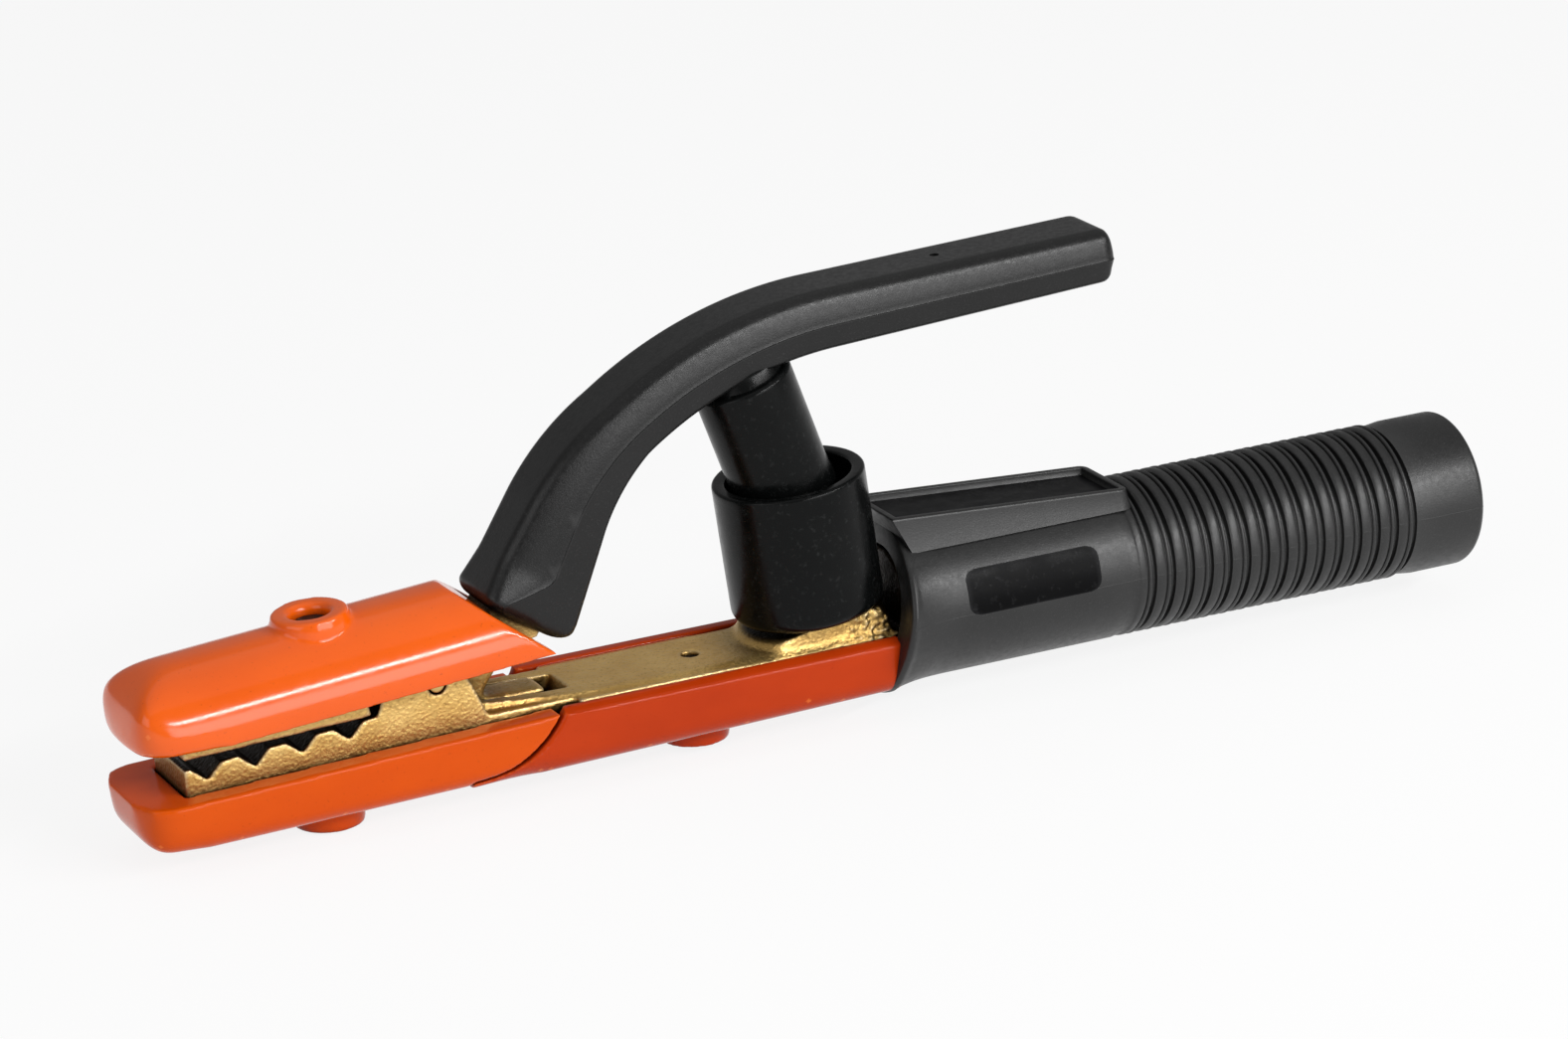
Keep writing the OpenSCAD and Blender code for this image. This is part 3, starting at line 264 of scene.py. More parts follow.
# The lower tip and the body insulator are darker copies of the tip orange, one plastic: painted shade for the
# light each gets.
ORANGE_LOWER_SHADED = orange_plastic("orange_lower_shaded", (206, 78, 5), (196, 70, 4), 0.14)
ORANGE_BODY_SHADED = orange_plastic("orange_body_shaded", (180, 56, 9), (166, 48, 7), 0.14)
BRASS = cast_brass("cast_brass")
LEVER_BLACK = black_plastic("lever_black", (18, 18, 18), (12, 12, 12), 2600, (0.28, 0.4), 0.00006, 0.33)
CUP_BLACK = black_plastic("cup_black", (9, 10, 10), (6, 7, 7), 900, (0.18, 0.3), 0.00003, 0.12)
HANDLE_GREY = black_plastic("handle_grey", (27, 27, 27), (19, 19, 19), 2600, (0.36, 0.46), 0.00006, 0.5)
LABEL_BLACK = black_plastic("label_black", (11, 11, 12), (8, 8, 9), 700, (0.3, 0.4), 0.00001, 0.05)
STEEL = bare_metal("steel", (170, 170, 172), (128, 128, 130), (0.25, 0.45))
# A darker copy of the steel, painted shade: the screws and the sleeve pin sit deep in holes.
SHADED_STEEL = bare_metal("shaded_steel", (52, 50, 48), (34, 33, 32), (0.4, 0.6))
PIN_BRASS = bare_metal("pin_brass", (214, 182, 116), (180, 146, 86), (0.3, 0.5))
SPRING_STEEL = bare_metal("spring_steel", (120, 120, 124), (86, 86, 90), (0.3, 0.5))
COPPER = bare_metal("copper", (198, 128, 84), (168, 98, 58), (0.28, 0.46))

NODE_MATERIAL = {
    "body_casting": BRASS,
    "lever_casting": BRASS,
    "lower_tip_insulator": ORANGE_LOWER_SHADED,
    "upper_tip_insulator": ORANGE_TIP,
    "body_insulator": ORANGE_BODY_SHADED,
    "lower_spring_cup": CUP_BLACK,
    "upper_spring_cup": CUP_BLACK,
    "lever_sleeve": LEVER_BLACK,
    "handle": HANDLE_GREY,
    "main_spring": SPRING_STEEL,
    "cable_shim": COPPER,
    "sleeve_pin": SHADED_STEEL,
    "pivot_pin": PIN_BRASS,
    "lower_tip_screw": SHADED_STEEL,
    "upper_tip_screw": SHADED_STEEL,
    "body_insulator_screw": SHADED_STEEL,
}


def paint(obj, mat):
    obj.data.materials.clear()
    obj.data.materials.append(mat)


for name, obj in nodes.items():
    paint(obj, NODE_MATERIAL.get(name, STEEL))


# Pieces


def piece(name, mesh, mat, body, stands_for=(), crease=180):
    """A new piece that rides on a body and may stand for CAD nodes. Edges sharper than the crease angle stay."""
    obj = bpy.data.objects.new(name, mesh)
    scene.collection.objects.link(obj)
    paint(obj, mat)
    for polygon in mesh.polygons:
        polygon.use_smooth = True
    mesh.set_sharp_from_angle(angle=math.radians(crease))
    if body:
        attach(obj, body)
    if stands_for:
        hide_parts(*stands_for)
    return obj


def working(name, mesh):
    """An object for modifiers to work on."""
    work = bpy.data.objects.new(name, mesh)
    scene.collection.objects.link(work)
    return work


def applied(work):
    """The mesh of a working object with its modifiers applied. The object is removed."""
    depsgraph = bpy.context.evaluated_depsgraph_get()
    mesh = bpy.data.meshes.new_from_object(work.evaluated_get(depsgraph))
    bpy.data.objects.remove(work)
    return mesh


def made(name, bm):
    """A mesh from an edit mesh, which is freed."""
    mesh = bpy.data.meshes.new(name)
    bm.to_mesh(mesh)
    bm.free()
    return mesh


# Mouldings and castings: the CAD surface as a fine even mesh, with its edges eased
VOXEL = 0.4


def remeshed(node):
    """The surface of a CAD node as a fine even mesh."""
    work = working(node + "_work", nodes[node].data.copy())
    remesh = work.modifiers.new("remesh", "REMESH")
    remesh.mode = "VOXEL"
    remesh.voxel_size = VOXEL * MM
    remesh.adaptivity = 0
    return applied(work)


def ease(work, rounds, group=""):
    smooth = work.modifiers.new("smooth", "SMOOTH")
    smooth.factor = 0.5
    smooth.iterations = rounds
    smooth.vertex_group = group


def softened(node, body, rounds, share=None, more=0, shape=None):
    """Stands for a CAD node with eased edges. A share says where it is eased more, and a shape moves points."""
    work = working(node + "_soft", remeshed(node))
    ease(work, rounds)
    if share:
        group = work.vertex_groups.new(name="share")
        for v in work.data.vertices:
            weight = share(*station(v.co))
            if weight > 0:
                group.add([v.index], weight, "REPLACE")
        ease(work, more, "share")
    mesh = applied(work)
    if shape:
        for v in mesh.vertices:
            v.co = at(*shape(*station(v.co)))
    piece(node + "_form", mesh, NODE_MATERIAL[node], body, (node,))


def upper_nose(x, y, z):
    return ramp(x, full=-2, none=8)


def nose_reach(x, y, z):
    """Gives back the length that the easing takes off the upper nose."""
    lost = 1.0
    return x - lost * ramp(x, full=-6, none=7), y, z


def lower_nose(x, y, z):
    return ramp(x, full=-2, none=3) * ramp(z, full=-10.5, none=-7.5)


def spring_pad(x, y, z):
    along = ramp(x, full=116, none=112) * ramp(x, full=146, none=148)
    return along * ramp(z, full=-2.4, none=-3.2) * ramp(abs(y), full=10.6, none=11.2)


def lever_heel(x, y, z):
    return ramp(x, full=64, none=60) * ramp(z, full=1, none=4)


# The pad under the lower cup
BAR_TOP = -2.05
PAD_FROM, PAD_FULL, PAD_LEAST = 117, 130, 0.3
SKIN_DEPTH = 0.5


def crinkled(x, y, z):
    """The spring pad rises gently in front of the cup, and has the rough skin of the casting behind it."""
    if x > PAD_FROM and z > BAR_TOP:
        z = BAR_TOP + (z - BAR_TOP) * (PAD_LEAST + (1 - PAD_LEAST) * ramp(x, PAD_FULL, PAD_FROM))
    depth = SKIN_DEPTH * ramp(x, full=141, none=134) * ramp(z, full=-2.6, none=-3.4)
    depth *= ramp(abs(y), full=12, none=14)
    across, down = noise.noise((x, y, z)), abs(noise.noise((x * 0.8, y * 1.3, z + 7)))
    return x, y + depth * across, z - depth * down


# The parting between the lower tip and the trough widens upwards, round a centre
FRONT_C, FRONT_R, FRONT_REACH = (57.41, 10.36), 24.95, 4
GAP_MEAN, GAP_SWING, GAP_TURN, GAP_LEFT = 3.65, 3.1, 115, 0.6
TROUGH_HALF, TROUGH_BASE, TROUGH_EDGE = 14.25, 15.8, 1.1
RIM_TOP, RIM_DEPTH, NEAR_FALL, FAR_RISE = -2.9, 2, 0.9, 0.6


def front_lip(x, y, z):
    """Fills most of the parting with the trough's round front edge, slopes the near rim and lifts the far one."""
    slope = NEAR_FALL * ramp(-y, full=14.2, none=12.2) - FAR_RISE * ramp(y, full=11.6, none=11)
    z -= slope * ramp(z, RIM_TOP, RIM_TOP - RIM_DEPTH)
    dx, dz = x - FRONT_C[0], z - FRONT_C[1]
    rho = math.hypot(dx, dz)
    gap = GAP_MEAN - GAP_SWING * math.cos(math.atan2(dz, dx) + math.radians(GAP_TURN))
    depth = min(TROUGH_EDGE, max(0, min(TROUGH_HALF - abs(y), z + TROUGH_BASE)))
    rounding = 0.5 + 0.5 * math.sqrt(1 - (1 - depth / TROUGH_EDGE) ** 2)
    k = 1 - max(0, gap - GAP_LEFT) * rounding * ramp(rho, FRONT_R, FRONT_R + FRONT_REACH) / rho
    return FRONT_C[0] + dx * k, y, min(FRONT_C[1] + dz * k, max(z, RIM_TOP - slope))


softened("upper_tip_insulator", "lever", 10, upper_nose, 240, nose_reach)
softened("lower_tip_insulator", "body", 10, lower_nose, 320)
softened("body_insulator", "body", 8, shape=front_lip)
softened("body_casting", "body", 5, spring_pad, 50, crinkled)
softened("lever_casting", "lever", 5, lever_heel, 80)


# Forms drawn as rows of points
MERGE = 1e-7


def mesh_of(name, rows, closed_rows=True, caps=True):
    """A mesh through rows of points: each row is a ring, joined to the next."""
    bm = bmesh.new()
    verts = [[bm.verts.new(p) for p in row] for row in rows]
    n = len(rows[0])
    for a, b in zip(verts, verts[1:]):
        for k in range(n if closed_rows else n - 1):
            m = (k + 1) % n
            bm.faces.new((a[k], a[m], b[m], b[k]))
    if caps:
        bm.faces.new(list(reversed(verts[0])))
        bm.faces.new(verts[-1])
    bmesh.ops.recalc_face_normals(bm, faces=bm.faces)
    return made(name, bm)


def hoop_of(name, rows):
    """A closed mesh through rings, whose last ring is joined to the first."""
    mesh = mesh_of(name, rows + rows[:1], caps=False)
    bm = bmesh.new()
    bm.from_mesh(mesh)
    bmesh.ops.remove_doubles(bm, verts=bm.verts, dist=MERGE)
    bmesh.ops.recalc_face_normals(bm, faces=bm.faces)
    bm.to_mesh(mesh)
    bm.free()
    return mesh


def bored(mesh, low, high, r):
    """The mesh with a round hole between two points."""
    work = working("bored_work", mesh)
    bm = bmesh.new()
    axis = high - low
    turn = axis.to_track_quat("Z", "Y").to_matrix().to_4x4()
    matrix = Matrix.Translation((low + high) / 2) @ turn
    size = {"radius1": r, "radius2": r, "depth": axis.length}
    bmesh.ops.create_cone(bm, cap_ends=True, segments=32, matrix=matrix, **size)
    tool = working("bore", made("bore", bm))
    cut = work.modifiers.new("cut", "BOOLEAN")
    cut.operation = "DIFFERENCE"
    cut.solver = "EXACT"
    cut.object = tool
    out = applied(work)
    bpy.data.objects.remove(tool)
    return out


def arc_steps(a0, a1, n):
    return [math.radians(a0 + (a1 - a0) * i / n) for i in range(n + 1)]


def arc(cx, cy, r, a0, a1, n):
    return [(cx + r * math.cos(a), cy + r * math.sin(a)) for a in arc_steps(a0, a1, n)]


def heading(a):
    return Vector((math.cos(math.radians(a)), math.sin(math.radians(a))))


def leaning(a):
    return Vector((-math.sin(math.radians(a)), math.cos(math.radians(a))))


# Pivot pin: places across and radii
PIN_PROFILE = ((-8.9, 1.1), (-8.85, 1.4), (-8.65, 1.58), (8.65, 1.58), (8.85, 1.4), (8.9, 1.1))


def pin_rows():
    """Pivot pin with eased ends, a little free of the casting so that a dark ring shows."""
    rows = []
    for y, r in PIN_PROFILE:
        rows.append([at(x, y, z) for x, z in arc(*PIVOT, r, 0, 350, 35)])
    return rows


piece("pivot_pin_form", mesh_of("pivot_pin", pin_rows()), PIN_BRASS, "body", ("pivot_pin",))

# The lever's path: a straight foot, two bends and a straight tail
FOOT_ANGLE, FOOT_CUT, MID_ANGLE, TAIL_ANGLE = 62.5, 56, 35, 2.5
FOOT_L, BEND1_R, BEND2_R, TAIL_L = 20.5, 46.7, 82, 61.8
FOOT_T, MID_T, TAIL_T = 21.2, 12.8, 10.8
FOOT_P = Vector((PIVOT[0] + 19.7, PIVOT[1] + 7.3))
BEND1_END = FOOT_L + BEND1_R * math.radians(FOOT_ANGLE - MID_ANGLE)
BEND2_END = BEND1_END + BEND2_R * math.radians(MID_ANGLE - TAIL_ANGLE)
LEVER_L = BEND2_END + TAIL_L


def bend(p, r, a, b):
    a, b = math.radians(a), math.radians(b)
    return p + r * Vector((math.sin(a) - math.sin(b), math.cos(b) - math.cos(a)))


BEND1_P = FOOT_P + FOOT_L * heading(FOOT_ANGLE)
BEND2_P = bend(BEND1_P, BEND1_R, FOOT_ANGLE, MID_ANGLE)
TAIL_P = bend(BEND2_P, BEND2_R, MID_ANGLE, TAIL_ANGLE)


def path_angle(s):
    if s <= FOOT_L:
        return FOOT_ANGLE
    if s <= BEND1_END:
        return FOOT_ANGLE - math.degrees((s - FOOT_L) / BEND1_R)
    if s <= BEND2_END:
        return MID_ANGLE - math.degrees((s - BEND1_END) / BEND2_R)
    return TAIL_ANGLE


def path_point(s):
    if s <= FOOT_L:
        return FOOT_P + s * heading(FOOT_ANGLE)
    if s <= BEND1_END:
        return bend(BEND1_P, BEND1_R, FOOT_ANGLE, path_angle(s))
    if s <= BEND2_END:
        return bend(BEND2_P, BEND2_R, MID_ANGLE, path_angle(s))
    return TAIL_P + (s - BEND2_END) * heading(TAIL_ANGLE)


def path_across(s):
    turn = FOOT_CUT + (FOOT_ANGLE - FOOT_CUT) * s / FOOT_L
    return leaning(turn if s < FOOT_L else path_angle(s))


def off_path(s, z):
    return path_point(s) + z * path_across(s)


def lever_t(s):
    if s <= BEND1_END:
        return FOOT_T + (MID_T - FOOT_T) * s / BEND1_END
    return MID_T + (TAIL_T - MID_T) * (s - BEND1_END) / (LEVER_L - BEND1_END)


# The lever's cross-section: half widths, edge rounds, the bowed side and the moulding bead
TOP_HALF, MID_HALF, LOW_HALF = 9.1, 9.2, 8.0
TOP_R, LOW_R = 3.0, 1.8
SIDE_TURN, SIDE_UPRIGHT = 22, 4
BEAD_TOP = 0.35
BEAD = ((-0.06, 0.24), (0.1, 0.12), (0.1, -0.06), (-0.16, -0.16), (-0.2, -0.45))
PARTING_DROP, PARTING_UP = 0.06, 0.3
HEEL_L, HEEL_RISE = 4.5, 3.0
# Length and inset of the round ends
FOOT_END, TAIL_END = (2.8, 2.4), (2.6, 2.0)
LEVER_RINGS = 110


def lever_parting(s, h):
    """Height of the moulding line: below the middle, and up to the top edge at the foot."""
    u = ramp(s, full=10, none=1.8)
    return (h - TOP_R - PARTING_UP) * (1 - u) - PARTING_DROP * lever_t(s) * u


def foot_heel(s):
    """How far the underside is rounded off towards the end of the foot."""
    u = max(0, 1 - s / HEEL_L)
    return HEEL_RISE * (1 - math.sqrt(1 - u * u))


def lever_ring(s, d):
    """Cross-section of the lever at s, drawn in by d."""
    h, top, mid, low = lever_t(s) / 2 - d, TOP_HALF - d, MID_HALF - d, LOW_HALF - d
    under = foot_heel(s) - h
    p = lever_parting(s, h)
    turn, upright = math.radians(SIDE_TURN), math.radians(SIDE_UPRIGHT)
    fall = h - TOP_R * (1 - math.sin(turn)) - p - BEAD_TOP
    bow = fall / (math.sin(turn) - math.sin(upright))
    bow_y, bow_z = top - bow * math.cos(upright), p + BEAD_TOP - bow * math.sin(upright)
    flat = top - bow * (math.cos(upright) - math.cos(turn)) - TOP_R * math.cos(turn)
    side = [(flat * k / 5, h) for k in range(5)]
    side += arc(flat, h - TOP_R, TOP_R, 90, SIDE_TURN, 10)
    side += arc(bow_y, bow_z, bow, SIDE_TURN, SIDE_UPRIGHT, 6)[1:]
    side += [(mid + dy, p + dz) for dy, dz in BEAD]
    side += arc(low - LOW_R, under + LOW_R, LOW_R, -6, -90, 8)
    side += [((low - LOW_R) * k / 5, under) for k in (4, 3, 2, 1)]
    ring = side + [(0, under)] + [(-y, z) for y, z in reversed(side[1:])]
    points = []
    for y, z in ring:
        q = off_path(s, z)
        points.append(at(q[0], y, q[1]))
    return points


def lever_rows():
    """Rings from the foot to the tail, with both ends rounded."""
    rows = []
    for a in arc_steps(0, 90, 8)[:-1]:
        rows.append((FOOT_END[0] * (1 - math.cos(a)), FOOT_END[1] * (1 - math.sin(a))))
    straight = LEVER_L - FOOT_END[0] - TAIL_END[0]
    rows += [(FOOT_END[0] + straight * i / LEVER_RINGS, 0) for i in range(LEVER_RINGS)]
    for a in arc_steps(0, 90, 6):
        rows.append((LEVER_L - TAIL_END[0] * (1 - math.sin(a)), TAIL_END[1] * (1 - math.cos(a))))
    return [lever_ring(s, d) for s, d in rows]


# The hole of the sleeve pin, from the core out through the lever's top
HOLE_S, HOLE_R, HOLE_SPAN = LEVER_L - 35.5, 0.95, (1.5, 8)
hole_low, hole_high = (in_plane(off_path(HOLE_S, z)) for z in HOLE_SPAN)
sleeve = bored(mesh_of("lever_sleeve", lever_rows()), hole_low, hole_high, HOLE_R * MM)
piece("lever_sleeve_form", sleeve, LEVER_BLACK, "lever", ("lever_sleeve",), 40)


# Cups and spring
SEAT, SEAT_LEAN = Vector((134, 2.35)), 6.3
CAP_S, CAP_LEAN = 70.03, 18.7
CAP_SEAT = off_path(CAP_S, -lever_t(CAP_S) / 2)
SPIN_SIDES = 96


def spin(name, profile, origin, direction):
    """A body of revolution in the middle plane. The profile gives radii and heights along the axis."""
    z = Vector((direction[0], 0, direction[1])).normalized()
    x = Vector((0, 1, 0))
    y = z.cross(x)
    rows = []
    for r, h in profile:
        row = []
        for i in range(SPIN_SIDES):
            a = 2 * math.pi * i / SPIN_SIDES
            row.append(in_plane(origin) + z * h * MM + (x * math.cos(a) + y * math.sin(a)) * r * MM)
        rows.append(row)
    return hoop_of(name, rows)


SEAT_GAP = 0.05
LOWER_R, LOWER_BORE, LOWER_HOLE, LOWER_FLOOR = 15.15, 12.45, 4.7, 2.4
LOWER_BASE_R, LOWER_RIM = 2.6, 27.85
lower_cup = [(LOWER_HOLE, LOWER_FLOOR), (LOWER_HOLE, SEAT_GAP), (12.2, SEAT_GAP)]
lower_cup += arc(LOWER_R - LOWER_BASE_R, SEAT_GAP + LOWER_BASE_R, LOWER_BASE_R, -90, 0, 10)
lower_cup += [(LOWER_R, h) for h in (8, 20, 27.2)]
lower_cup += arc(LOWER_R - 0.7, LOWER_RIM, 0.7, 0, 90, 5)
lower_cup += arc(LOWER_BORE + 0.6, LOWER_RIM, 0.6, 90, 180, 4)
lower_cup += [(LOWER_BORE, h) for h in (18, 8, LOWER_FLOOR)]

UPPER_R, UPPER_BORE, UPPER_HOLE, UPPER_FLOOR = 10.0, 8.0, 3.4, 3.7
COLLAR_R, COLLAR_SINK, COLLAR_EDGE = 8.4, 1.45, 0.4
UPPER_LIP = 0.35
upper_cup = [(UPPER_HOLE, UPPER_FLOOR), (UPPER_HOLE, -COLLAR_SINK), (COLLAR_R - COLLAR_EDGE, -COLLAR_SINK)]
upper_cup += [(COLLAR_R, COLLAR_EDGE - COLLAR_SINK), (COLLAR_R, 1.1), (8.7, 1.3)]
upper_cup += arc(UPPER_R - 1, 2.3, 1.0, -90, 0, 5)
upper_cup += [(UPPER_R, 10), (UPPER_R, 22.5), (UPPER_R + 0.15, 25), (UPPER_R + UPPER_LIP, 27.3)]
upper_cup += arc(UPPER_R + UPPER_LIP - 0.65, 27.8, 0.65, 0, 90, 4)
upper_cup += arc(8.7, 27.95, 0.5, 90, 180, 4)
upper_cup += [(UPPER_BORE, h) for h in (26, 12, UPPER_FLOOR)]

for node, profile, seat, axis, body in (
    ("lower_spring_cup", lower_cup, SEAT, leaning(SEAT_LEAN), "body"),
    ("upper_spring_cup", upper_cup, CAP_SEAT, -leaning(CAP_LEAN), "lever"),
):
    piece(node + "_form", spin(node, profile, seat, axis), CUP_BLACK, body, (node,))

SPRING_TURNS, SPRING_R, WIRE_R = 8, 5.6, 1.2
SPRING_INSET = 2.65
TURN_RINGS, WIRE_SIDES = 28, 12
SPRING_LOW = SEAT + (LOWER_FLOOR + SPRING_INSET) * leaning(SEAT_LEAN)
SPRING_HIGH = CAP_SEAT - (UPPER_FLOOR + SPRING_INSET) * leaning(CAP_LEAN)


def spring_rows():
    """Rings of a wire that winds round a curve square to both cup floors."""
    reach = (SPRING_HIGH - SPRING_LOW).length / 3
    c1, c2 = SPRING_LOW + reach * leaning(SEAT_LEAN), SPRING_HIGH - reach * leaning(CAP_LEAN)
    count = SPRING_TURNS * TURN_RINGS
    rows = []
    for i in range(count + 1):
        u = i / count
        v = 1 - u
        p = SPRING_LOW * v**3 + c1 * 3 * v * v * u + c2 * 3 * v * u * u + SPRING_HIGH * u**3
        b = math.radians(SEAT_LEAN + (CAP_LEAN - SEAT_LEAN) * u)
        t = 2 * math.pi * SPRING_TURNS * u
        out = Vector((math.cos(t) * math.cos(b), math.sin(t), math.cos(t) * math.sin(b)))
        up = Vector((-math.sin(b), 0, math.cos(b)))
        centre = Vector((p[0], 0, p[1])) + SPRING_R * out
        ring = []
        for k in range(WIRE_SIDES):
            w = 2 * math.pi * k / WIRE_SIDES
            ring.append(at(*(centre + WIRE_R * (math.cos(w) * out + math.sin(w) * up))))
        rows.append(ring)
    return rows


spring = mesh_of("main_spring", spring_rows())
coil = piece("main_spring_form", spring, SPRING_STEEL, None, ("main_spring",))
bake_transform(coil)


# Handle: a ribbed tube with a flared mouth and a name frame on top. Heights run back from its front.
BAR_L, HANDLE_L = 147.6, 133.4
FLARE_R, FLARE_L, FLARE_FLAT = 18.4, 13, 17.3
LIP_R, FRONT_TILT, TILT_L = 1.0, 0.19, 12
RIB_PITCH, RIB_COUNT, RIB_LAST, RIBS_AT = 4.35, 15, 16.9, 51.9
PLAIN_L, END_R = 12, 1.5
BORE_R, BORE_L, MOUTH_R = 12.2, 68.6, 10.5
CUP_ROOM, CUP_STEP = 15.55, 0.4
DRAFT = 0.15
TUBE_SIDES, SEAM_W, SEAM_RISE = 144, 0.007, 0.05
# The flare is less under the handle and above it, and swells at the trough's corners
UNDER_LESS, OVER_LESS = 0.5, 0.65
SWELL, SWELL_AT, SWELL_W, SWELL_L = 1.0, -45, 15, 9
GROOVE_MORE = 1.2


def drafted(r, a):
    """Radius at an angle from the seam: each half of the mould is a little flatter than round."""
    full = math.hypot(HANDLE_R, DRAFT)
    flat = math.sqrt(full**2 - (DRAFT * math.cos(a)) ** 2) - DRAFT * abs(math.sin(a))
    return r * flat / HANDLE_R


def flare_r(h):
    return HANDLE_R + (FLARE_R - HANDLE_R) * max(0, 1 - h / FLARE_L) ** 2


def outer_r(r, h, a):
    """Radius outside: the flare varies round the handle, and the grooves are deepest on top and below."""
    rise = math.degrees(math.asin(math.sin(a)))
    if r > HANDLE_R and h < FLARE_L:
        turn = (rise - SWELL_AT) / SWELL_W
        under, over = ramp(rise, full=-65, none=-20), ramp(rise, full=42, none=8)
        r += (HANDLE_R - r) * max(UNDER_LESS * under, OVER_LESS * over)
        r += SWELL * ramp(h, 0, SWELL_L) * math.exp(-turn * turn)
    elif RIBS_AT < h < HANDLE_L - PLAIN_L:
        r -= (HANDLE_R - r) * GROOVE_MORE * math.sin(a) ** 2
    return drafted(r, a)


# A rib's land, then the fine line, the bead and the groove behind it
RIB_TAIL, LAND_CROWN = 2.1, 0.2
LINE_DEPTH, LINE_AT = 0.34, (0.1, 0.2)
BEAD_DEPTH, BEAD_RISE, BEAD_AT, BEAD_HALF = 0.28, 0.3, 0.65, 0.42
GROOVE_FALL, GROOVE_AT, GROOVE_HALF = 0.72, 1.59, 0.5


def rib_profile(start, end):
    """Outline of one rib: a slightly crowned land, a fine line, a round bead and the groove behind it."""
    land = end - start - RIB_TAIL
    x = start + land
    foot = HANDLE_R - BEAD_DEPTH
    out = [(HANDLE_R - LAND_CROWN * abs(k / 4 - 1) ** 3, start + land * k / 8) for k in range(9)]
    out += [(HANDLE_R - LINE_DEPTH, x + h) for h in LINE_AT]
    for a in arc_steps(0, 180, 6):
        out.append((foot + BEAD_RISE * math.sin(a), x + BEAD_AT - BEAD_HALF * math.cos(a)))
    for a in arc_steps(0, 180, 8):
        out.append((foot - GROOVE_FALL * math.sin(a), x + GROOVE_AT - GROOVE_HALF * math.cos(a)))
    return out


def tube_mesh(name, outer, inner):
    """A tube of the handle from an outline and a bore, with a fine moulding seam along both sides."""
    around = [2 * math.pi * k / TUBE_SIDES for k in range(TUBE_SIDES)]
    for side in (0, math.pi):
        around += [side + SEAM_W * k for k in (-2, -1, 1, 2)]
    around = sorted(a % (2 * math.pi) for a in around)
    rows = []
    for path, shaped in ((outer, True), (list(reversed(inner)), False)):
        for r, h in path:
            row = []
            for a in around:
                q = outer_r(r, h, a) if shaped else r
                if shaped and abs(math.sin(a)) < SEAM_W / 2:
                    q += SEAM_RISE
                z = q * math.sin(a)
                row.append(at(BAR_L + h + FRONT_TILT * z * ramp(h, 0, TILT_L), q * math.cos(a), z))
            rows.append(row)
    return hoop_of(name, rows)


def clear_of_cup(mesh):
    """Moves the front of the handle back to where the cup leaves room, and flattens it under the flare."""
    lean = math.radians(SEAT_LEAN)
    for v in mesh.vertices:
        x, y, z = station(v.co)
        if abs(y) < CUP_ROOM and z > SEAT[1] - CUP_STEP:
            axis = SEAT[0] - (z - SEAT[1]) * math.tan(lean)
            x = max(x, axis + math.sqrt(CUP_ROOM**2 - y * y) / math.cos(lean))
        v.co = at(x, y, max(z, -FLARE_FLAT))


# Name frame on top of the handle, lower towards the rear, with a sloping front
FRAME_L, FRAME_HALF, FRAME_CORNER, FRAME_LEVEL = 54, 9.3, 2, 2.2
FRAME_FRONT, FRAME_REAR = 4.1, 0.7
FRAME_SET, FRAME_LEAN = 1, 0.5
RECESS_ROOM = 2.2
# Inset and height of the foot in the tube; insets and drops of the recess and of the bare plate in it
FRAME_FOOT = ((-0.9, 12.9), (-0.88, 12.95))
RECESS = ((1.5, 0.35), (1.6, 1.55), (1.65, 1.6))
PLATE = ((1.7, 1.8), (1.7, 1.52), (1.8, 1.48), (2, 1.47))
OUTER_EDGE, INNER_EDGE, INNER_AT = 0.5, 0.3, 1.2


def frame_top(x):
    fall = (FRAME_FRONT - FRAME_REAR) / (FRAME_L - FRAME_LEVEL)
    return HANDLE_R + FRAME_FRONT - fall * max(0, x - BAR_L - FRAME_LEVEL)


def frame_ring(inset, drop, level=None):
    """Outline of the frame, drawn in by an inset, at a drop under its rim or at one level."""
    x0, x1, w = BAR_L + inset, BAR_L + FRAME_L - inset, FRAME_HALF - inset
    r = max(0.4, FRAME_CORNER - inset)
    plan = [(x0, -w + 2 * w * k / 8) for k in range(9)]
    plan += arc(x1 - r, w - r, r, 90, 0, 7) + arc(x1 - r, r - w, r, 0, -90, 7)
    out = []
    for x, y in plan:
        z = frame_top(x) - drop if level is None else level
        slope = FRAME_LEAN * (HANDLE_R + FRAME_FRONT - z)
        out.append(at(max(x, BAR_L + max(0, inset) + FRAME_SET + slope), y, z))
    return out


def frame_rings():
    """Rings from inside the tube up over the rim and down to the recessed floor."""
    rows = [frame_ring(inset, 0, level) for inset, level in FRAME_FOOT]
    rows += [frame_ring(0, OUTER_EDGE + 0.05), frame_ring(0, OUTER_EDGE)]
    for a in arc_steps(15, 90, 5):
        rows.append(frame_ring(OUTER_EDGE * (1 - math.cos(a)), OUTER_EDGE * (1 - math.sin(a))))
    for a in arc_steps(0, 90, 4):
        rows.append(frame_ring(INNER_AT + INNER_EDGE * math.sin(a), INNER_EDGE * (1 - math.cos(a))))
    return rows + [frame_ring(inset, drop) for inset, drop in RECESS]


def under_frame(mesh):
    """Lowers the top of the tube where the recess of the frame is deeper than the wall."""
    for v in mesh.vertices:
        x, y, z = station(v.co)
        if BAR_L + 3 < x < BAR_L + FRAME_L - 0.5 and abs(y) < FRAME_HALF - 0.7 and z > 0:
            v.co = at(x, y, min(z, frame_top(x) - RECESS_ROOM))


def joined(name, meshes):
    bm = bmesh.new()
    for mesh in meshes:
        bm.from_mesh(mesh)
    return made(name, bm)


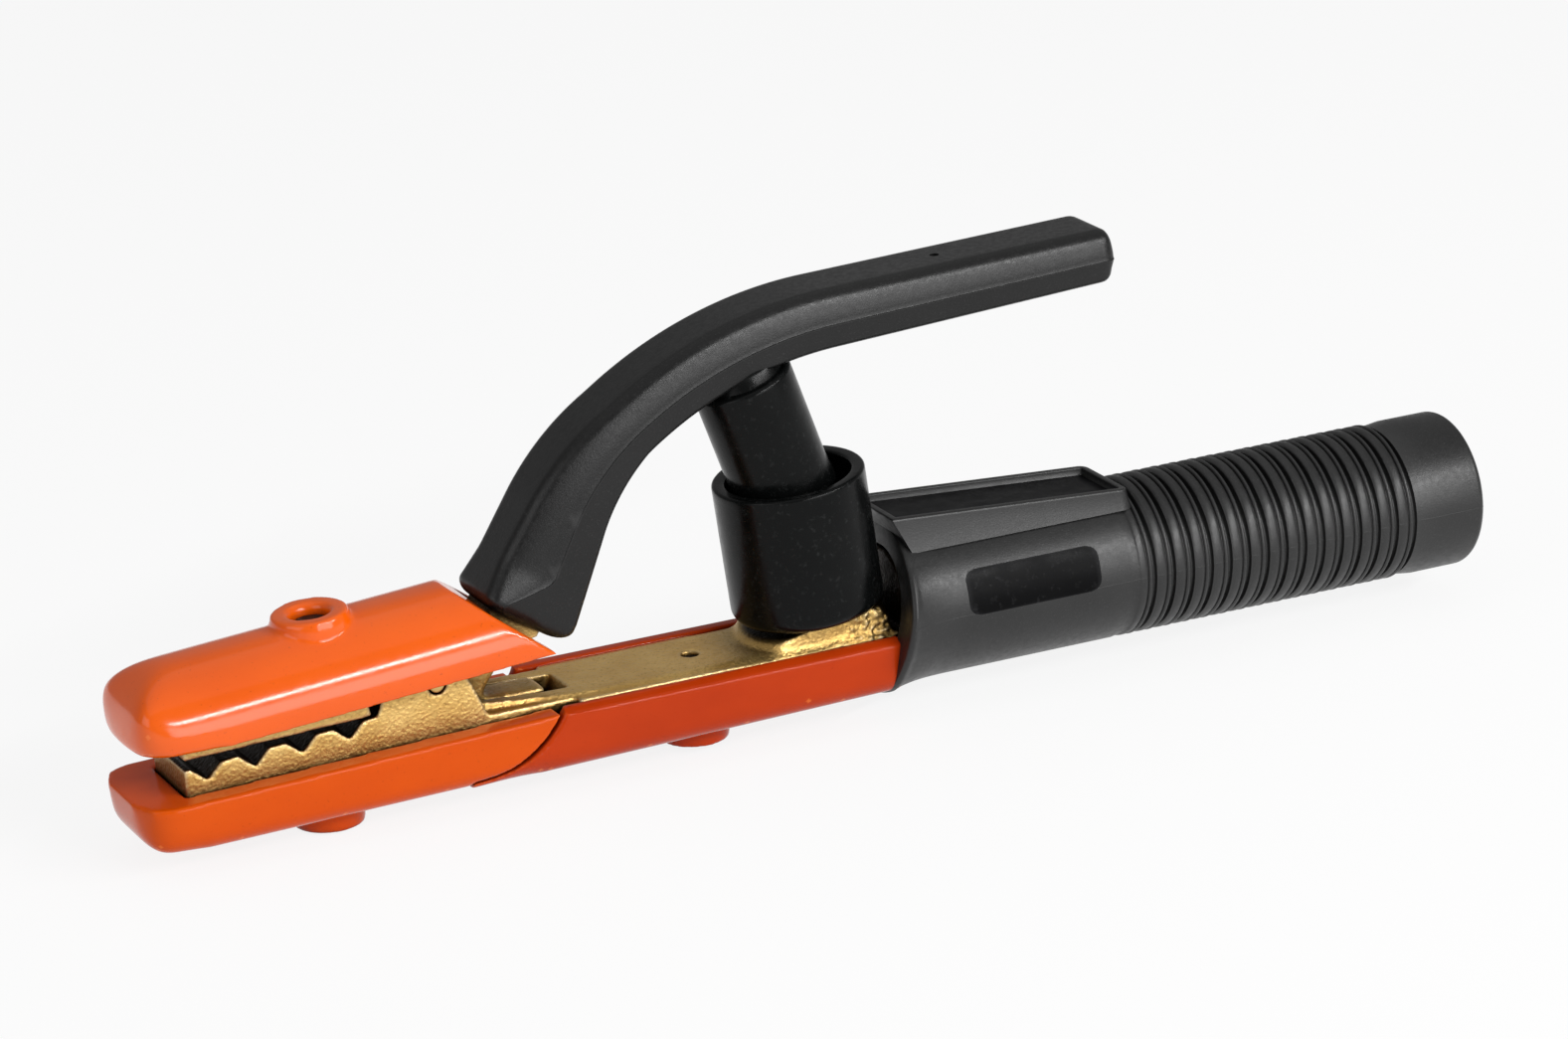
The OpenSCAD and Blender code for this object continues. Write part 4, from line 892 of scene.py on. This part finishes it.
RIBS_FROM = HANDLE_L - RIB_LAST - (RIB_COUNT - 1) * RIB_PITCH + 0.5
SCREW_H, SCREW_R, SCREW_SPAN = 21, 3.7, (-17, -11)
front = [(FLARE_R + LIP_R * (math.sin(a) - 1), LIP_R * (1 - math.cos(a))) for a in arc_steps(0, 90, 8)]
front += [(flare_r(k * 0.9), k * 0.9) for k in range(2, 16)]
front += [(HANDLE_R, 20 + 5 * k) for k in range(7)] + rib_profile(52, RIBS_FROM)
front_bore = [(BORE_R + 0.6, 0), (BORE_R, 0.6), (BORE_R, 30), (BORE_R, RIBS_FROM)]
front_tube = tube_mesh("handle_front", front, front_bore)
clear_of_cup(front_tube)
under_frame(front_tube)
screw_low, screw_high = (in_plane((BAR_L + SCREW_H, z)) for z in SCREW_SPAN)
front_tube = bored(front_tube, screw_low, screw_high, SCREW_R * MM)

ribs = []
for i in range(RIB_COUNT - 1):
    ribs += rib_profile(RIBS_FROM + i * RIB_PITCH, RIBS_FROM + (i + 1) * RIB_PITCH)
ribs += [(HANDLE_R, HANDLE_L - PLAIN_L), (HANDLE_R, HANDLE_L - 6)]
ribs += arc(HANDLE_R - END_R, HANDLE_L - END_R, END_R, 0, 90, 7)
mouth = [(BORE_R, RIBS_FROM), (BORE_R, BORE_L), (MOUTH_R, BORE_L)]
mouth += [(MOUTH_R, HANDLE_L - 0.6), (MOUTH_R + 0.5, HANDLE_L)]
name_frame = mesh_of("name_frame", frame_rings())
clear_of_cup(name_frame)
handle = joined("handle", [front_tube, tube_mesh("handle_ribs", ribs, mouth), name_frame])
plate = mesh_of("name_plate", [frame_ring(inset, drop) for inset, drop in PLATE])
piece("name_plate", plate, LABEL_BLACK, "body", crease=40)
piece("handle_form", handle, HANDLE_GREY, "body", ("handle",), 50)

# Bare side label: stations, angles round the handle, corner and thickness
LABEL_X, LABEL_TURN = (161.5, 191), (-1, 32)
LABEL_CORNER, LABEL_T = 2.4, 0.06
LABEL_ROWS, LABEL_STEPS = 24, 30


def label_mesh():
    """A bare plate with round corners that follows the handle."""
    radius = HANDLE_R + LABEL_T / 2
    x0, x1 = LABEL_X
    v0, v1 = (math.radians(a) * radius for a in LABEL_TURN)
    rows = []
    for j in range(LABEL_ROWS + 1):
        v = v0 + (v1 - v0) * j / LABEL_ROWS
        short = max(0, LABEL_CORNER - min(v - v0, v1 - v))
        inset = LABEL_CORNER - math.sqrt(max(0, LABEL_CORNER**2 - short**2))
        y, z = -radius * math.cos(v / radius), radius * math.sin(v / radius)
        row = []
        for i in range(LABEL_STEPS + 1):
            row.append(at(x0 + inset + (x1 - x0 - 2 * inset) * i / LABEL_STEPS, y, z))
        rows.append(row)
    work = working("label_work", mesh_of("label", rows, closed_rows=False, caps=False))
    solid = work.modifiers.new("solid", "SOLIDIFY")
    solid.thickness = LABEL_T * MM
    solid.offset = 0
    return applied(work)


piece("side_label", label_mesh(), LABEL_BLACK, "body", crease=40)

# Stage
FLOOR_DROP, FLOOR_HALF = 0.0002, 6
FLOOR_SHADE, FLOOR_GLOW = 0.92, 0.86
WORLD_LEVEL = 0.3


def seen_directly(tree):
    """One for camera, glossy and transmission rays, nought for the rays that light the object."""
    path = tree.nodes.new("ShaderNodeLightPath")
    total = path.outputs["Is Camera Ray"]
    for kind in ("Is Glossy Ray", "Is Transmission Ray"):
        add = tree.nodes.new("ShaderNodeMath")
        add.operation = "ADD"
        add.use_clamp = True
        tree.links.new(total, add.inputs[0])
        tree.links.new(path.outputs[kind], add.inputs[1])
        total = add.outputs["Value"]
    return total


def stage_material(name):
    """A pale surface that shows as white and keeps a soft shadow."""
    mat = bpy.data.materials.new(name)
    mat.use_nodes = True
    tree = mat.node_tree
    out = tree.nodes["Material Output"]
    tree.nodes.remove(tree.nodes["Principled BSDF"])
    diffuse = tree.nodes.new("ShaderNodeBsdfDiffuse")
    diffuse.inputs["Color"].default_value = (FLOOR_SHADE, FLOOR_SHADE, FLOOR_SHADE, 1)
    glow = tree.nodes.new("ShaderNodeEmission")
    glow.inputs["Strength"].default_value = 1.0
    part = tree.nodes.new("ShaderNodeMath")
    part.operation = "MULTIPLY"
    part.inputs[1].default_value = FLOOR_GLOW
    tree.links.new(seen_directly(tree), part.inputs[0])
    mix = tree.nodes.new("ShaderNodeMixShader")
    tree.links.new(part.outputs["Value"], mix.inputs["Fac"])
    tree.links.new(diffuse.outputs["BSDF"], mix.inputs[1])
    tree.links.new(glow.outputs["Emission"], mix.inputs[2])
    tree.links.new(mix.outputs["Shader"], out.inputs["Surface"])
    return mat


bm = bmesh.new()
bmesh.ops.create_grid(bm, x_segments=2, y_segments=2, size=FLOOR_HALF)
bmesh.ops.translate(bm, verts=bm.verts, vec=(0, 0, cad_box[0][2] - FLOOR_DROP))
floor = working("floor", made("floor", bm))
floor.data.materials.append(stage_material("floor_white"))

world = bpy.data.worlds.new("studio")
scene.world = world
world.use_nodes = True
back = world.node_tree.nodes["Background"]
back.inputs["Color"].default_value = (1, 1, 1, 1)
back.inputs["Strength"].default_value = WORLD_LEVEL

LAMP_AIM, LAMP_DISTANCE = at(130, 0, 15), 1.2


def lamp(name, direction, size, watts):
    """A soft area light that looks at the middle of the object."""
    light = bpy.data.lights.new(name, "AREA")
    light.shape = "RECTANGLE"
    light.size, light.size_y = size
    light.energy = watts
    obj = bpy.data.objects.new(name, light)
    scene.collection.objects.link(obj)
    d = Vector(direction).normalized()
    obj.location = LAMP_AIM + d * LAMP_DISTANCE
    obj.rotation_euler = d.to_track_quat("Z", "Y").to_euler()


lamp("key", (0.42, -0.76, 0.5), (1.1, 0.05), 9.5)
lamp("low", (0.3, -0.93, 0.2), (1.0, 0.38), 5)
lamp("front", (-0.85, -0.3, 0.35), (0.9, 0.7), 2.5)
lamp("top", (0, 0, 1), (1.6, 1.6), 2.5)

# Camera fitted to the photograph: focal length and width in pixels, place and directions
FOCAL_PX, WIDTH_PX, SENSOR = 5477.3, 1577, 36
CAMERA_AT = at(-296.43, -914.83, 359.79)
CAMERA_RIGHT, CAMERA_UP = Vector((0.8987, -0.4360, -0.0472)), Vector((0.1792, 0.2668, 0.9469))

camera_data = bpy.data.cameras.new("camera")
camera_data.sensor_fit = "HORIZONTAL"
camera_data.sensor_width = SENSOR
camera_data.lens = SENSOR * FOCAL_PX / WIDTH_PX
camera_data.clip_start = 0.01
camera_data.clip_end = 50
camera = bpy.data.objects.new("camera", camera_data)
scene.collection.objects.link(camera)
axes = Matrix((CAMERA_RIGHT, CAMERA_UP, CAMERA_RIGHT.cross(CAMERA_UP)))
camera.matrix_world = Matrix.Translation(CAMERA_AT) @ axes.transposed().to_4x4()
scene.camera = camera

scene.view_settings.view_transform = "Standard"
